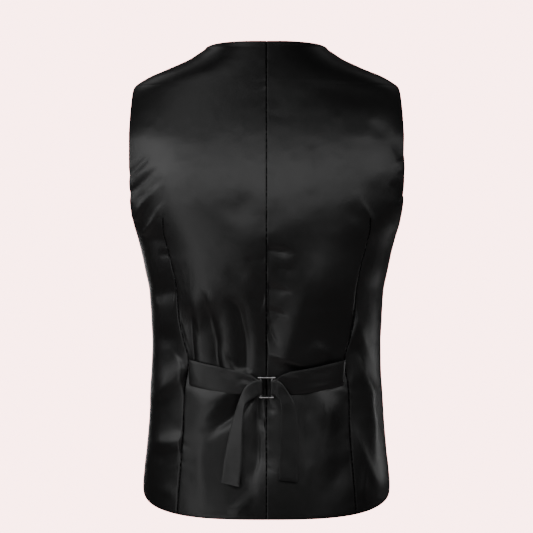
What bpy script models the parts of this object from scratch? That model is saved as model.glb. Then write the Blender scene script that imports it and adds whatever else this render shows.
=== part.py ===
"""A satin-backed waistcoat in the hollow form it has when worn: two backs with long darts, two
fronts, a cinch belt of two straps with free tails, a wire buckle and five buttons."""

import math
from bisect import bisect_right
from collections import namedtuple
from functools import lru_cache

import bmesh
import bpy
from mathutils import Matrix, Vector

# Metres. Z is up, the fronts face -Y, the left side as worn is +X, and the origin lies midway
# between the shoulder seams.
SEAM_GAP = 0.0003
BACK_WALL = 0.002
FRONT_WALL = 0.0025
STRAP_WALL = 0.0014
SECTION_POWER = 2.4
SPREAD_POWER = 1.2
STEP = 1e-3
TOUCH = 1e-6
WELD = 1e-5
SHARP_ANGLE = math.radians(40)

# Heights of the marks that the pieces meet at
BACK_HEM = -0.6094
SIDE_HEM = -0.5775
UNDERARM = -0.2613
TIP_TURN = -0.0480
SHOULDER_TIP = -0.0248
NECK_POINT = 0.0261
BACK_NECK = 0.0325
SHOULDER_SEAM_Y = -0.008
CORNER_POWER = 1.38

# The body of the garment in level sections: the half width and depth of the back's outer edge,
# the depth of the front's outer edge, and how far the centre back and front stand from the middle
Section = namedtuple("Section", "height edge_x edge_y front_edge back front")
SECTIONS = (
    Section(-0.640, 0.1707, 0.000, 0.000, 0.1085, 0.1230),
    Section(-0.573, 0.1695, 0.000, 0.000, 0.1030, 0.1210),
    Section(-0.553, 0.1681, 0.000, 0.000, 0.1010, 0.1200),
    Section(-0.512, 0.1640, 0.000, 0.000, 0.0965, 0.1170),
    Section(-0.457, 0.1598, 0.000, 0.000, 0.0905, 0.1130),
    Section(-0.420, 0.1579, 0.000, 0.000, 0.0880, 0.1110),
    Section(-0.381, 0.1571, 0.000, 0.000, 0.0905, 0.1100),
    Section(-0.346, 0.1585, 0.000, 0.000, 0.0975, 0.1110),
    Section(-0.305, 0.1612, 0.000, 0.000, 0.1055, 0.1140),
    Section(-0.278, 0.1667, 0.000, 0.000, 0.1095, 0.1160),
    Section(-0.261, 0.1701, 0.000, 0.000, 0.1115, 0.1170),
    Section(-0.237, 0.1753, 0.018, 0.030, 0.1135, 0.1175),
    Section(-0.209, 0.1825, 0.036, 0.055, 0.1150, 0.1170),
    Section(-0.183, 0.1859, 0.048, 0.070, 0.1145, 0.1150),
    Section(-0.142, 0.1868, 0.056, 0.078, 0.1110, 0.1075),
    Section(-0.102, 0.1869, 0.054, 0.068, 0.1050, 0.0970),
    Section(-0.075, 0.1860, 0.046, 0.055, 0.0985, 0.0880),
    Section(-0.048, 0.1843, 0.033, 0.041, 0.0915, 0.0805),
    Section(-0.035, 0.1831, 0.023, 0.030, 0.0882, 0.0765),
    Section(-0.028, 0.1815, 0.013, 0.019, 0.0864, 0.0748),
    Section(-0.0248, 0.1801, 0.000, 0.000, 0.0855, 0.0740),
    Section(-0.021, 0.1753, 0.000, 0.000, 0.0845, 0.0730),
    Section(-0.012, 0.1602, 0.000, 0.000, 0.0815, 0.0705),
    Section(-0.004, 0.1409, 0.000, 0.000, 0.0785, 0.0685),
    Section(0.004, 0.1224, 0.000, 0.000, 0.0750, 0.0665),
    Section(0.012, 0.1059, 0.000, 0.000, 0.0710, 0.0645),
    Section(0.021, 0.0921, 0.000, 0.000, 0.0665, 0.0620),
    Section(0.026, 0.0853, 0.000, 0.000, 0.0640, 0.0600),
    Section(0.033, 0.0830, 0.000, 0.000, 0.0620, 0.0580),
)

# Where the long dart of each back lies, and above it the line that its columns of points keep
DartMark = namedtuple("DartMark", "height reach")
DART_LINE = (
    DartMark(-0.620, 0.1210),
    DartMark(-0.597, 0.1200),
    DartMark(-0.557, 0.1170),
    DartMark(-0.526, 0.1145),
    DartMark(-0.489, 0.1120),
    DartMark(-0.452, 0.1113),
    DartMark(-0.431, 0.1100),
    DartMark(-0.397, 0.1053),
    DartMark(-0.372, 0.1114),
    DartMark(-0.340, 0.1180),
    DartMark(-0.305, 0.1207),
    DartMark(-0.271, 0.1270),
    DartMark(-0.250, 0.1325),
    DartMark(-0.217, 0.1390),
    DartMark(-0.190, 0.1375),
    DartMark(-0.120, 0.1310),
    DartMark(-0.070, 0.1240),
    DartMark(-0.025, 0.1120),
    DartMark(0.000, 0.0950),
    DartMark(0.026, 0.0640),
    DartMark(0.032, 0.0600),
)
DART_TOP = -0.20
DART_SINK = 0.0012
DART_WIDTH = 0.007
DART_FADE = 0.03

# The largest folds of the backs: where each starts and ends, how far its sides reach and how far
# it rises; a trough has a negative rise
Fold = namedtuple("Fold", "start_x start_z end_x end_z reach rise")
FOLDS = (
    Fold(0.092, -0.300, 0.073, -0.382, 0.010, -0.0050),
    Fold(0.054, -0.318, 0.030, -0.380, 0.012, -0.0045),
    Fold(0.078, -0.312, 0.058, -0.380, 0.009, 0.0030),
    Fold(0.011, -0.318, 0.011, -0.382, 0.009, 0.0025),
    Fold(0.060, -0.204, 0.018, -0.180, 0.014, -0.0025),
    Fold(0.018, -0.268, 0.040, -0.255, 0.012, -0.0020),
    Fold(-0.095, -0.262, -0.060, -0.375, 0.024, -0.0060),
    Fold(-0.012, -0.255, -0.020, -0.300, 0.012, 0.0025),
    Fold(-0.014, -0.350, -0.022, -0.382, 0.010, 0.0030),
    Fold(-0.090, -0.180, -0.010, -0.222, 0.018, -0.0025),
    Fold(-0.126, -0.340, -0.144, -0.390, 0.009, 0.0030),
    Fold(-0.134, -0.400, -0.150, -0.500, 0.010, 0.0035),
    Fold(-0.122, -0.440, -0.126, -0.500, 0.010, -0.0035),
    Fold(-0.118, -0.485, -0.142, -0.560, 0.010, 0.0025),
    Fold(-0.068, -0.450, -0.070, -0.585, 0.014, 0.0030),
    Fold(-0.096, -0.532, -0.096, -0.572, 0.014, -0.0030),
    Fold(0.030, -0.456, 0.076, -0.496, 0.011, -0.0050),
    Fold(0.072, -0.452, 0.056, -0.466, 0.012, 0.0040),
    Fold(0.084, -0.490, 0.084, -0.586, 0.013, 0.0028),
    Fold(0.134, -0.462, 0.112, -0.440, 0.010, -0.0045),
    Fold(0.140, -0.425, 0.118, -0.410, 0.011, 0.0035),
    Fold(0.146, -0.492, 0.128, -0.486, 0.012, 0.0025),
    Fold(0.002, -0.462, 0.000, -0.480, 0.009, 0.0035),
    Fold(-0.002, -0.480, -0.018, -0.506, 0.009, -0.0040),
    Fold(0.166, -0.180, 0.150, -0.150, 0.011, -0.0025),
    Fold(0.166, -0.128, 0.150, -0.118, 0.010, -0.0020),
    Fold(-0.168, -0.150, -0.142, -0.090, 0.013, -0.0025),
    Fold(-0.140, -0.222, -0.128, -0.198, 0.010, 0.0020),
)

# The belt: its line droops from the darts to the buckle, and it presses the back in
BELT_ROOT_X = 0.1045
BELT_ROOT_Z = -0.4146
BELT_CENTRE_Z = -0.4337
BELT_PRESS = 0.0030
BELT_BAND = 0.015
BELT_RUN_OUT = 0.012
BELT_LIFT = 0.0014

# The buckle: two bars joined by two rails that the straps turn round, with collars on the top bar
BUCKLE_LIFT = 0.0052
BUCKLE_TOP = -0.4206
BUCKLE_BOTTOM = -0.4470
RAIL_X = 0.0076
WIRE_RADIUS = 0.0009
RAIL_RADIUS = 0.0008
TOP_BAR_HALF = 0.0117
BOTTOM_BAR_HALF = 0.0094
COLLAR_X = 0.0092
COLLAR_RADIUS = 0.0016
COLLAR_HALF = 0.0017
LOOP_CLEARANCE = 0.0004
UPPER_ROOM = 0.0032
LOWER_ROOM = 0.0026

# The belt part of a strap, from its dart to the buckle: the heights of its two edges
BeltMark = namedtuple("BeltMark", "x upper_z lower_z")
BELT = (
    BeltMark(0.1045, -0.3972, -0.4320),
    BeltMark(0.0850, -0.4018, -0.4362),
    BeltMark(0.0600, -0.4075, -0.4410),
    BeltMark(0.0400, -0.4112, -0.4430),
    BeltMark(0.0290, -0.4135, -0.4428),
    BeltMark(0.0190, -0.4180, -0.4400),
    BeltMark(0.0130, -0.4225, -0.4440),
)

# The stretch of each back that a tail hangs over, where the cloth has no ridges
TAIL_LANE_X = 0.036
TAIL_LANE_HALF = 0.018
TAIL_LANE_LOW = (-0.59, -0.56)
TAIL_LANE_HIGH = (-0.44, -0.42)
SIDE_CALM = (0.86, 0.98)

# The tails, from the buckle's rail down to the cut end: the outer and the inner edge, and how far
# each stands off the back
TailMark = namedtuple("TailMark", "outer_x outer_z outer_lift inner_x inner_z inner_lift")
LEFT_TAIL = (
    TailMark(0.0120, -0.4235, 0.0074, 0.0115, -0.4450, 0.0074),
    TailMark(0.0215, -0.4275, 0.0080, 0.0175, -0.4490, 0.0078),
    TailMark(0.0290, -0.4350, 0.0078, 0.0240, -0.4530, 0.0076),
    TailMark(0.0345, -0.4460, 0.0072, 0.0285, -0.4600, 0.0072),
    TailMark(0.0415, -0.4670, 0.0062, 0.0305, -0.4760, 0.0068),
    TailMark(0.0485, -0.4925, 0.0055, 0.0312, -0.4960, 0.0064),
    TailMark(0.0540, -0.5205, 0.0048, 0.0316, -0.5220, 0.0060),
    TailMark(0.0575, -0.5420, 0.0044, 0.0328, -0.5440, 0.0056),
    TailMark(0.0598, -0.5605, 0.0040, 0.0359, -0.5660, 0.0050),
)
RIGHT_TAIL = (
    TailMark(0.0115, -0.4235, 0.0074, 0.0115, -0.4450, 0.0074),
    TailMark(0.0185, -0.4265, 0.0080, 0.0150, -0.4480, 0.0078),
    TailMark(0.0255, -0.4355, 0.0078, 0.0180, -0.4530, 0.0076),
    TailMark(0.0320, -0.4460, 0.0074, 0.0195, -0.4600, 0.0072),
    TailMark(0.0385, -0.4600, 0.0066, 0.0197, -0.4700, 0.0068),
    TailMark(0.0415, -0.4770, 0.0058, 0.0190, -0.4850, 0.0064),
    TailMark(0.0428, -0.5050, 0.0050, 0.0178, -0.5080, 0.0058),
    TailMark(0.0428, -0.5320, 0.0044, 0.0170, -0.5330, 0.0052),
    TailMark(0.0412, -0.5600, 0.0040, 0.0164, -0.5570, 0.0048),
)

# The fronts: the line of the V neck and closing edge, and the pointed hem
EdgeMark = namedtuple("EdgeMark", "height x")
FRONT_EDGE = (
    EdgeMark(-0.573, -0.0150),
    EdgeMark(-0.262, -0.0150),
    EdgeMark(-0.246, -0.0130),
    EdgeMark(-0.225, -0.0030),
    EdgeMark(-0.180, 0.0220),
    EdgeMark(-0.130, 0.0460),
    EdgeMark(-0.080, 0.0640),
    EdgeMark(-0.030, 0.0775),
    EdgeMark(0.005, 0.0835),
    EdgeMark(0.0261, 0.0853),
)
FRONT_EDGE_HEM = -0.573
LAP_HALF = 0.015
V_BOTTOM = -0.246
V_TURN = -0.002
FRONT_POINT_X = 0.045
FRONT_POINT_Z = -0.630
FRONT_HEM_POWER = 1.15
HEM_FADE = 0.40
UNDERLAP_START = 0.050
UNDERLAP_END = 0.027
UNDERLAP_GAP = 0.0004
LAP_TOP = -0.215
UNDERLAP_TOP = -0.170

# Buttons
BUTTON_COUNT = 5
BUTTON_TOP = -0.262
BUTTON_PITCH = 0.069
BUTTON_RADIUS = 0.0075
BUTTON_THICKNESS = 0.0028
BUTTON_RIM = 0.0014
BUTTON_WELL = 0.0017
BUTTON_CLEARANCE = 0.0007

# How many faces the walls have along and across
DART_COLUMNS = 9
SIDE_COLUMNS = 7
BACK_ROWS = (23, 14, 4, 7)
FRONT_COLUMNS = 13
FRONT_ROWS = (18, 13, 4)
STRAP_COLUMNS = 3
BELT_ROWS = 12
LOOP_ROWS = 8
TAIL_ROWS = 16
WIRE_SIDES = 12
BUTTON_SIDES = 20

# Finishes: base colour, roughness and metallic value
FINISHES = {
    "back_satin": ((0.012, 0.012, 0.013, 1.0), 0.38, 0.0),
    "front_suiting": ((0.014, 0.014, 0.015, 1.0), 0.75, 0.0),
    "strap_satin": ((0.012, 0.012, 0.013, 1.0), 0.34, 0.0),
    "buckle_metal": ((0.75, 0.75, 0.76, 1.0), 0.18, 1.0),
    "button_resin": ((0.015, 0.015, 0.016, 1.0), 0.30, 0.0),
}


# ---- the form of the garment ----


@lru_cache(maxsize=None)
def curve_through(table, column):
    """Heights, values and leans of a smooth curve with no overshoot through a table's column."""
    heights = [row.height for row in table]
    values = [getattr(row, column) for row in table]
    slopes = [(values[j + 1] - values[j]) / (heights[j + 1] - heights[j]) for j in range(len(table) - 1)]
    leans = [slopes[0]]
    for before, after in zip(slopes, slopes[1:]):
        leans.append(0.0 if before * after <= 0 else 2.0 * before * after / (before + after))
    leans.append(slopes[-1])
    return heights, values, leans


def along(table, column, height):
    """The column's value at this height."""
    heights, values, leans = curve_through(table, column)
    if height <= heights[0]:
        return values[0]
    if height >= heights[-1]:
        return values[-1]
    i = bisect_right(heights, height) - 1
    width = heights[i + 1] - heights[i]
    t = (height - heights[i]) / width
    rise = (2 * t**3 - 3 * t**2 + 1) * values[i] + (-2 * t**3 + 3 * t**2) * values[i + 1]
    lean = (t**3 - 2 * t**2 + t) * leans[i] + (t**3 - t**2) * leans[i + 1]
    return rise + width * lean


def section(column, height):
    return along(SECTIONS, column, height)


def mix(a, b, t):
    return a + (b - a) * t


def soft_step(low, high, value):
    t = min(max((value - low) / (high - low), 0.0), 1.0)
    return t * t * (3.0 - 2.0 * t)


def hill(value):
    """1 at zero, falling smoothly to 0 on both sides."""
    return math.exp(-(value**2))


def half_width(height):
    """The half width of the level section at this height."""
    ratio = section("edge_y", height) / section("back", height)
    return section("edge_x", height) / (1.0 - ratio**2) ** (1.0 / SECTION_POWER)


def form_point(spread, height, facing):
    """A point of the plain form: spread is 0 at the centre and 1 at the side, and past 1 it comes
    round to the other face. facing is 1 on the back and -1 on the front."""
    angle = math.pi / 2 * abs(spread) ** SPREAD_POWER
    x = half_width(height) * abs(math.sin(angle)) ** (2.0 / SECTION_POWER)
    cosine = math.cos(angle)
    own, other = ("back", "front") if facing > 0 else ("front", "back")
    depth = section(own if cosine >= 0 else other, height)
    return Vector((math.copysign(x, spread), facing * depth * cosine, height))


def spread_of_x(x, height):
    ratio = min(abs(x) / half_width(height), 1.0)
    angle = math.asin(ratio ** (SECTION_POWER / 2.0))
    return math.copysign((angle * 2 / math.pi) ** (1.0 / SPREAD_POWER), x)


def spread_of_y(y, height, facing):
    own, other = ("back", "front") if facing > 0 else ("front", "back")
    depth = section(own if y * facing >= 0 else other, height)
    angle = math.acos(max(-1.0, min(1.0, y * facing / depth)))
    return (angle * 2 / math.pi) ** (1.0 / SPREAD_POWER)


def distance_to_line(x, z, fold):
    """How far a place on the back is from the fold's line."""
    line = Vector((fold.end_x - fold.start_x, fold.end_z - fold.start_z))
    away = Vector((x - fold.start_x, z - fold.start_z))
    t = min(max(away.dot(line) / line.length_squared, 0.0), 1.0)
    return (away - line * t).length


def belt_height(x):
    return mix(BELT_CENTRE_Z, BELT_ROOT_Z, min(abs(x) / BELT_ROOT_X, 1.0))


def back_relief(x, z):
    """How far the back's cloth stands off the plain form, from its folds, dart and belt."""
    rise = sum(fold.rise * hill(distance_to_line(x, z, fold) / fold.reach) for fold in FOLDS)
    dart = hill((abs(x) - along(DART_LINE, "reach", z)) / DART_WIDTH)
    rise -= DART_SINK * dart * (1.0 - soft_step(DART_TOP - DART_FADE, DART_TOP, z))
    on_belt = hill((z - belt_height(x)) / BELT_BAND)
    on_belt *= 1.0 - soft_step(BELT_ROOT_X, BELT_ROOT_X + BELT_RUN_OUT, abs(x))
    under_tail = hill(((abs(x) - TAIL_LANE_X) / TAIL_LANE_HALF) ** 2)
    under_tail *= soft_step(*TAIL_LANE_LOW, z) * (1.0 - soft_step(*TAIL_LANE_HIGH, z))
    rise = mix(rise, min(rise, 0.0), max(on_belt, under_tail))
    rise = mix(rise, -BELT_PRESS, on_belt)
    return rise * (1.0 - soft_step(*SIDE_CALM, abs(spread_of_x(x, z))))


def normal_of(place, u, v):
    """The outward direction of a surface given by place(u, v), from two short steps on it."""
    u_low, u_high = max(u - STEP, 0.0), min(u + STEP, 1.0)
    v_low, v_high = max(v - STEP, 0.0), min(v + STEP, 1.0)
    across = place(u_high, v) - place(u_low, v)
    up = place(u, v_high) - place(u, v_low)
    return across.cross(up).normalized()


def over_back(x, z, lift):
    """A point that stands off the plain back by lift."""
    spread = spread_of_x(x, z)
    here = form_point(spread, z, 1)
    across = form_point(spread + STEP, z, 1) - form_point(spread - STEP, z, 1)
    up = form_point(spread, z + STEP, 1) - form_point(spread, z - STEP, 1)
    return here + up.cross(across).normalized() * lift


# ---- cloth walls ----


def levels(marks, counts):
    """Values that run through the marks, with counts[i] equal steps between marks i and i + 1."""
    steps = [marks[0]]
    for low, high, count in zip(marks, marks[1:], counts):
        steps += [mix(low, high, (k + 1) / count) for k in range(count)]
    return steps


def picked(values, fraction):
    """The value at this fraction of an evenly stepped list, straight between its entries."""
    at = fraction * (len(values) - 1)
    i = min(int(at), len(values) - 2)
    return mix(values[i], values[i + 1], at - i)


def back_place(side):
    """The back's outer surface, u from the centre seam to the outer edge and v from hem to top."""
    centre = levels((BACK_HEM, UNDERARM, TIP_TURN, SHOULDER_TIP, BACK_NECK), BACK_ROWS)
    edge = levels((SIDE_HEM, UNDERARM, TIP_TURN, SHOULDER_TIP, NECK_POINT), BACK_ROWS)
    dart_share = DART_COLUMNS / (DART_COLUMNS + SIDE_COLUMNS)

    def outer_spread(height):
        if height > SHOULDER_TIP - TOUCH:
            return spread_of_y(SHOULDER_SEAM_Y + SEAM_GAP / 2, height, 1)
        return spread_of_y(max(section("edge_y", height), SEAM_GAP / 2), height, 1)

    def spread_at(u, height, side_height):
        dart_x = along(DART_LINE, "reach", height)
        if u <= dart_share:
            return spread_of_x(mix(SEAM_GAP / 2, dart_x, u / dart_share), height)
        beyond = (u - dart_share) / (1 - dart_share)
        return mix(spread_of_x(dart_x, height), outer_spread(side_height), beyond)

    def place(u, v):
        low, high = picked(centre, v), picked(edge, v)
        turn = math.cos(math.pi / 2 * min(spread_at(u, low, high), 1.0) ** SPREAD_POWER)
        height = mix(low, high, (1.0 - turn) ** CORNER_POWER)
        here = form_point(spread_at(u, height, high), height, 1)
        here.x *= side
        return here

    def raised(u, v):
        here = place(u, v)
        return here + side * normal_of(place, u, v) * -back_relief(here.x, here.z)

    return raised


def front_place(side):
    """The front's outer surface, u from the closing edge to the side and v from hem to shoulder."""
    inner = levels((FRONT_EDGE_HEM, V_BOTTOM, V_TURN, NECK_POINT), FRONT_ROWS)
    outer = levels((SIDE_HEM, UNDERARM, TIP_TURN, SHOULDER_TIP), FRONT_ROWS)
    seam_y = SHOULDER_SEAM_Y - SEAM_GAP / 2

    def inner_spread(height):
        if height > NECK_POINT - TOUCH:
            return spread_of_y(seam_y, height, -1)
        x = along(FRONT_EDGE, "x", height)
        return min(spread_of_x(x, height), spread_of_y(seam_y, NECK_POINT, -1))

    def outer_spread(height):
        if height > SHOULDER_TIP - TOUCH:
            return spread_of_y(seam_y, height, -1)
        return spread_of_y(min(-section("front_edge", height), -SEAM_GAP / 2), height, -1)

    def hem_height(x):
        if x < FRONT_POINT_X:
            return mix(FRONT_POINT_Z, FRONT_EDGE_HEM, (FRONT_POINT_X - x) / (FRONT_POINT_X + LAP_HALF))
        t = (x - FRONT_POINT_X) / (half_width(SIDE_HEM) - FRONT_POINT_X)
        return mix(FRONT_POINT_Z, SIDE_HEM, min(t, 1.0) ** FRONT_HEM_POWER)

    def place(u, v):
        low, high = picked(inner, v), picked(outer, v)
        height = mix(low, high, u)
        spread = mix(inner_spread(low), outer_spread(high), u)
        if v > 1.0 - TOUCH:
            spread = spread_of_y(seam_y, height, -1)
        fade = max(1.0 - v / HEM_FADE, 0.0) ** 2
        if fade > 0.0:
            x = form_point(spread, height, -1).x
            height += fade * (hem_height(x) - mix(FRONT_EDGE_HEM, SIDE_HEM, u))
        here = form_point(spread, height, -1)
        if side < 0:
            under = soft_step(-UNDERLAP_START, -UNDERLAP_END, -here.x)
            under *= 1.0 - soft_step(LAP_TOP, UNDERLAP_TOP, height)
            here.y += under * (FRONT_WALL + UNDERLAP_GAP)
        here.x *= side
        return here

    return place


def thick_sheet(name, columns, rows, faces):
    """A closed sheet: a grid laid on the outer points, and an extruded copy on the inner ones.
    faces(u, v) gives the outer and the inner point of each place on the sheet."""
    bm = bmesh.new()
    bmesh.ops.create_grid(bm, x_segments=columns, y_segments=rows, size=0.5)
    outer = list(bm.verts)
    grown = bmesh.ops.extrude_face_region(bm, geom=list(bm.faces), use_keep_orig=True)
    inner = [item for item in grown["geom"] if isinstance(item, bmesh.types.BMVert)]
    inner_at = {spot_of(vert): vert for vert in inner}
    pairs = [(vert, inner_at[spot_of(vert)]) for vert in outer]
    for vert, partner in pairs:
        vert.co, partner.co = faces(vert.co.x + 0.5, vert.co.y + 0.5)
    bmesh.ops.recalc_face_normals(bm, faces=list(bm.faces))
    return mesh_object(name, bm)


def spot_of(vert):
    return round(vert.co.x, 5), round(vert.co.y, 5)


def wall(name, place, columns, rows, thickness, turn, seam_of):
    """A cloth wall whose outer surface is place(u, v). turn is 1 or -1, the way that this surface's
    normal points out. seam_of(u, v) names the axis along which a seam's rim may not lean."""

    def faces(u, v):
        outer = place(u, v)
        inwards = normal_of(place, u, v) * -turn
        for axis in seam_of(u, v):
            inwards["xyz".index(axis)] = 0.0
        return outer, outer + inwards.normalized() * thickness

    return thick_sheet(name, columns, rows, faces)


def mesh_object(name, bm):
    mesh = bpy.data.meshes.new(name)
    bm.to_mesh(mesh)
    bm.free()
    mesh.shade_smooth()
    mesh.set_sharp_from_angle(angle=SHARP_ANGLE)
    thing = bpy.data.objects.new(name, mesh)
    PIECES.objects.link(thing)
    return thing


def back(side, name):
    rows = sum(BACK_ROWS)
    body = BACK_ROWS[0] / rows
    shoulder = 1.0 - BACK_ROWS[-1] / rows

    def seam_of(u, v):
        if u < TOUCH:
            return "x"
        on_edge = u > 1.0 - TOUCH and (v < body + TOUCH or v > shoulder - TOUCH)
        return "y" if on_edge else ""

    columns = DART_COLUMNS + SIDE_COLUMNS
    return wall(name, back_place(side), columns, rows, BACK_WALL, -side, seam_of)


def front(side, name):
    rows = sum(FRONT_ROWS)
    body = FRONT_ROWS[0] / rows

    def seam_of(u, v):
        on_side = u > 1.0 - TOUCH and v < body + TOUCH
        return "y" if on_side or v > 1.0 - TOUCH else ""

    return wall(name, front_place(side), FRONT_COLUMNS, rows, FRONT_WALL, side, seam_of)


# ---- belt ----


def buckle_plane(z):
    """How far back the buckle's wires lie at this height."""
    top = over_back(0.0, BUCKLE_TOP, BUCKLE_LIFT).y
    bottom = over_back(0.0, BUCKLE_BOTTOM, BUCKLE_LIFT).y
    return mix(top, bottom, (z - BUCKLE_TOP) / (BUCKLE_BOTTOM - BUCKLE_TOP))


def through(points, fraction):
    """The point at this fraction of a smooth curve through the points."""
    at = fraction * (len(points) - 1)
    i = min(int(at), len(points) - 2)
    t = at - i
    a, b = points[i], points[i + 1]
    before = points[i - 1] if i else a * 2 - b
    after = points[i + 2] if i + 2 < len(points) else b * 2 - a
    lean_a = (b - before) / 2
    lean_b = (after - a) / 2
    ends = a * (2 * t**3 - 3 * t**2 + 1) + b * (3 * t**2 - 2 * t**3)
    return ends + lean_a * (t**3 - 2 * t**2 + t) + lean_b * (t**3 - t**2)


def strap_edges(side, tail):
    """The strap's two edges as points from the dart, round the rail and down to the tail's end."""
    upper, lower = [], []
    for mark in BELT:
        upper.append(over_back(side * mark.x, mark.upper_z, BELT_LIFT))
        lower.append(over_back(side * mark.x, mark.lower_z, BELT_LIFT))
    belt = [(through(upper, k / BELT_ROWS), through(lower, k / BELT_ROWS)) for k in range(BELT_ROWS + 1)]
    reach = WIRE_RADIUS + LOOP_CLEARANCE + STRAP_WALL / 2
    rail_ends = []
    for z in (BUCKLE_TOP - UPPER_ROOM, BUCKLE_BOTTOM + LOWER_ROOM):
        rail_ends.append(Vector((side * RAIL_X, buckle_plane(z), z)))
    loop = []
    for k in range(LOOP_ROWS + 1):
        angle = math.pi * k / LOOP_ROWS
        turn = Vector((-side * math.sin(angle), -math.cos(angle), 0.0)) * reach
        loop.append((rail_ends[0] + turn, rail_ends[1] + turn))
    outer = [over_back(side * mark.outer_x, mark.outer_z, mark.outer_lift) for mark in tail]
    inner = [over_back(side * mark.inner_x, mark.inner_z, mark.inner_lift) for mark in tail]
    hang = [(through(outer, k / TAIL_ROWS), through(inner, k / TAIL_ROWS)) for k in range(TAIL_ROWS + 1)]
    return belt + loop + hang


def strap(side, tail, name):
    pairs = strap_edges(side, tail)
    rows = len(pairs) - 1

    def middle(u, v):
        i = min(int(v * rows), rows - 1)
        upper = pairs[i][0].lerp(pairs[i + 1][0], v * rows - i)
        lower = pairs[i][1].lerp(pairs[i + 1][1], v * rows - i)
        return upper.lerp(lower, u)

    def faces(u, v):
        low, high = max(v - 0.5 / rows, 0.0), min(v + 0.5 / rows, 1.0)
        run = middle(u, high) - middle(u, low)
        across = middle(1.0, v) - middle(0.0, v)
        out = across.cross(run).normalized() * side * STRAP_WALL / 2
        return middle(u, v) + out, middle(u, v) - out

    return thick_sheet(name, STRAP_COLUMNS, rows, faces)


def placed(centre, direction):
    """The move that sets a thing made along Z at this centre, in this direction."""
    return Matrix.Translation(centre) @ direction.to_track_quat("Z", "Y").to_matrix().to_4x4()


def wire(start, end, radius):
    """A straight round wire between two points."""
    run = end - start
    bpy.ops.mesh.primitive_cylinder_add(vertices=WIRE_SIDES, radius=radius, depth=run.length)
    rod = bpy.context.object
    rod.data.transform(placed((start + end) / 2, run))
    return rod


def buckle():
    def spot(x, z):
        return Vector((x, buckle_plane(z), z))

    rods = []
    for half, z in ((TOP_BAR_HALF, BUCKLE_TOP), (BOTTOM_BAR_HALF, BUCKLE_BOTTOM)):
        rods.append(wire(spot(-half, z), spot(half, z), WIRE_RADIUS))
    for side in (-1, 1):
        rods.append(wire(spot(side * RAIL_X, BUCKLE_TOP), spot(side * RAIL_X, BUCKLE_BOTTOM), RAIL_RADIUS))
        low = spot(side * (COLLAR_X - COLLAR_HALF), BUCKLE_TOP)
        high = spot(side * (COLLAR_X + COLLAR_HALF), BUCKLE_TOP)
        rods.append(wire(low, high, COLLAR_RADIUS))
    whole = rods[0]
    whole.name = "buckle"
    whole.data.name = "buckle"
    for rod in rods[1:]:
        joint = whole.modifiers.new("join", "BOOLEAN")
        joint.operation = "UNION"
        joint.solver = "EXACT"
        joint.object = rod
        rod.hide_render = True
        rod.display_type = "WIRE"
        move_to(rod, CUTTERS)
    move_to(whole, PIECES)
    return whole


# ---- buttons ----


def button(index):
    """A turned button with a raised rim, on the left front at the closing line."""
    profile = (
        (0.0, BUTTON_WELL),
        (BUTTON_RADIUS - BUTTON_RIM * 1.6, BUTTON_WELL),
        (BUTTON_RADIUS - BUTTON_RIM, BUTTON_THICKNESS),
        (BUTTON_RADIUS - BUTTON_RIM * 0.4, BUTTON_THICKNESS),
        (BUTTON_RADIUS, BUTTON_THICKNESS * 0.5),
        (BUTTON_RADIUS - BUTTON_RIM, 0.0),
        (0.0, 0.0),
    )
    bm = bmesh.new()
    ring = [bm.verts.new((radius, 0.0, height)) for radius, height in profile]
    for a, b in zip(ring, ring[1:]):
        bm.edges.new((a, b))
    bmesh.ops.spin(
        bm,
        geom=list(bm.verts) + list(bm.edges),
        axis=(0, 0, 1),
        cent=(0, 0, 0),
        angle=2 * math.pi,
        steps=BUTTON_SIDES,
        use_merge=True,
    )
    bmesh.ops.remove_doubles(bm, verts=list(bm.verts), dist=WELD)
    bmesh.ops.recalc_face_normals(bm, faces=list(bm.faces))
    z = BUTTON_TOP - BUTTON_PITCH * index
    here = form_point(0.0, z, -1)
    up = form_point(0.0, z + STEP, -1) - form_point(0.0, z - STEP, -1)
    out = Vector((1.0, 0.0, 0.0)).cross(up).normalized()
    thing = mesh_object(f"button_{index + 1}", bm)
    thing.data.transform(placed(here + out * BUTTON_CLEARANCE, out))
    return thing


# ---- finishes and assembly ----


def finish(name):
    if name in bpy.data.materials:
        return bpy.data.materials[name]
    colour, roughness, metallic = FINISHES[name]
    material = bpy.data.materials.new(name)
    material.use_nodes = True
    shader = material.node_tree.nodes["Principled BSDF"]
    shader.inputs["Base Color"].default_value = colour
    shader.inputs["Roughness"].default_value = roughness
    shader.inputs["Metallic"].default_value = metallic
    return material


def dress(thing, name):
    thing.data.materials.clear()
    thing.data.materials.append(finish(name))


def move_to(thing, collection):
    for holder in list(thing.users_collection):
        holder.objects.unlink(thing)
    collection.objects.link(thing)


for thing in list(bpy.data.objects):
    bpy.data.objects.remove(thing, do_unlink=True)

PIECES = bpy.data.collections.new("waistcoat")
CUTTERS = bpy.data.collections.new("cutters")
bpy.context.scene.collection.children.link(PIECES)
bpy.context.scene.collection.children.link(CUTTERS)

dress(back(1, "back_left"), "back_satin")
dress(back(-1, "back_right"), "back_satin")
dress(front(1, "front_left"), "front_suiting")
dress(front(-1, "front_right"), "front_suiting")
dress(strap(1, LEFT_TAIL, "strap_left"), "strap_satin")
dress(strap(-1, RIGHT_TAIL, "strap_right"), "strap_satin")
dress(buckle(), "buckle_metal")
for number in range(BUTTON_COUNT):
    dress(button(number), "button_resin")
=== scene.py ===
import math
from collections import namedtuple

import bmesh
import bpy
import numpy as np
from mathutils import Matrix, Vector


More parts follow.
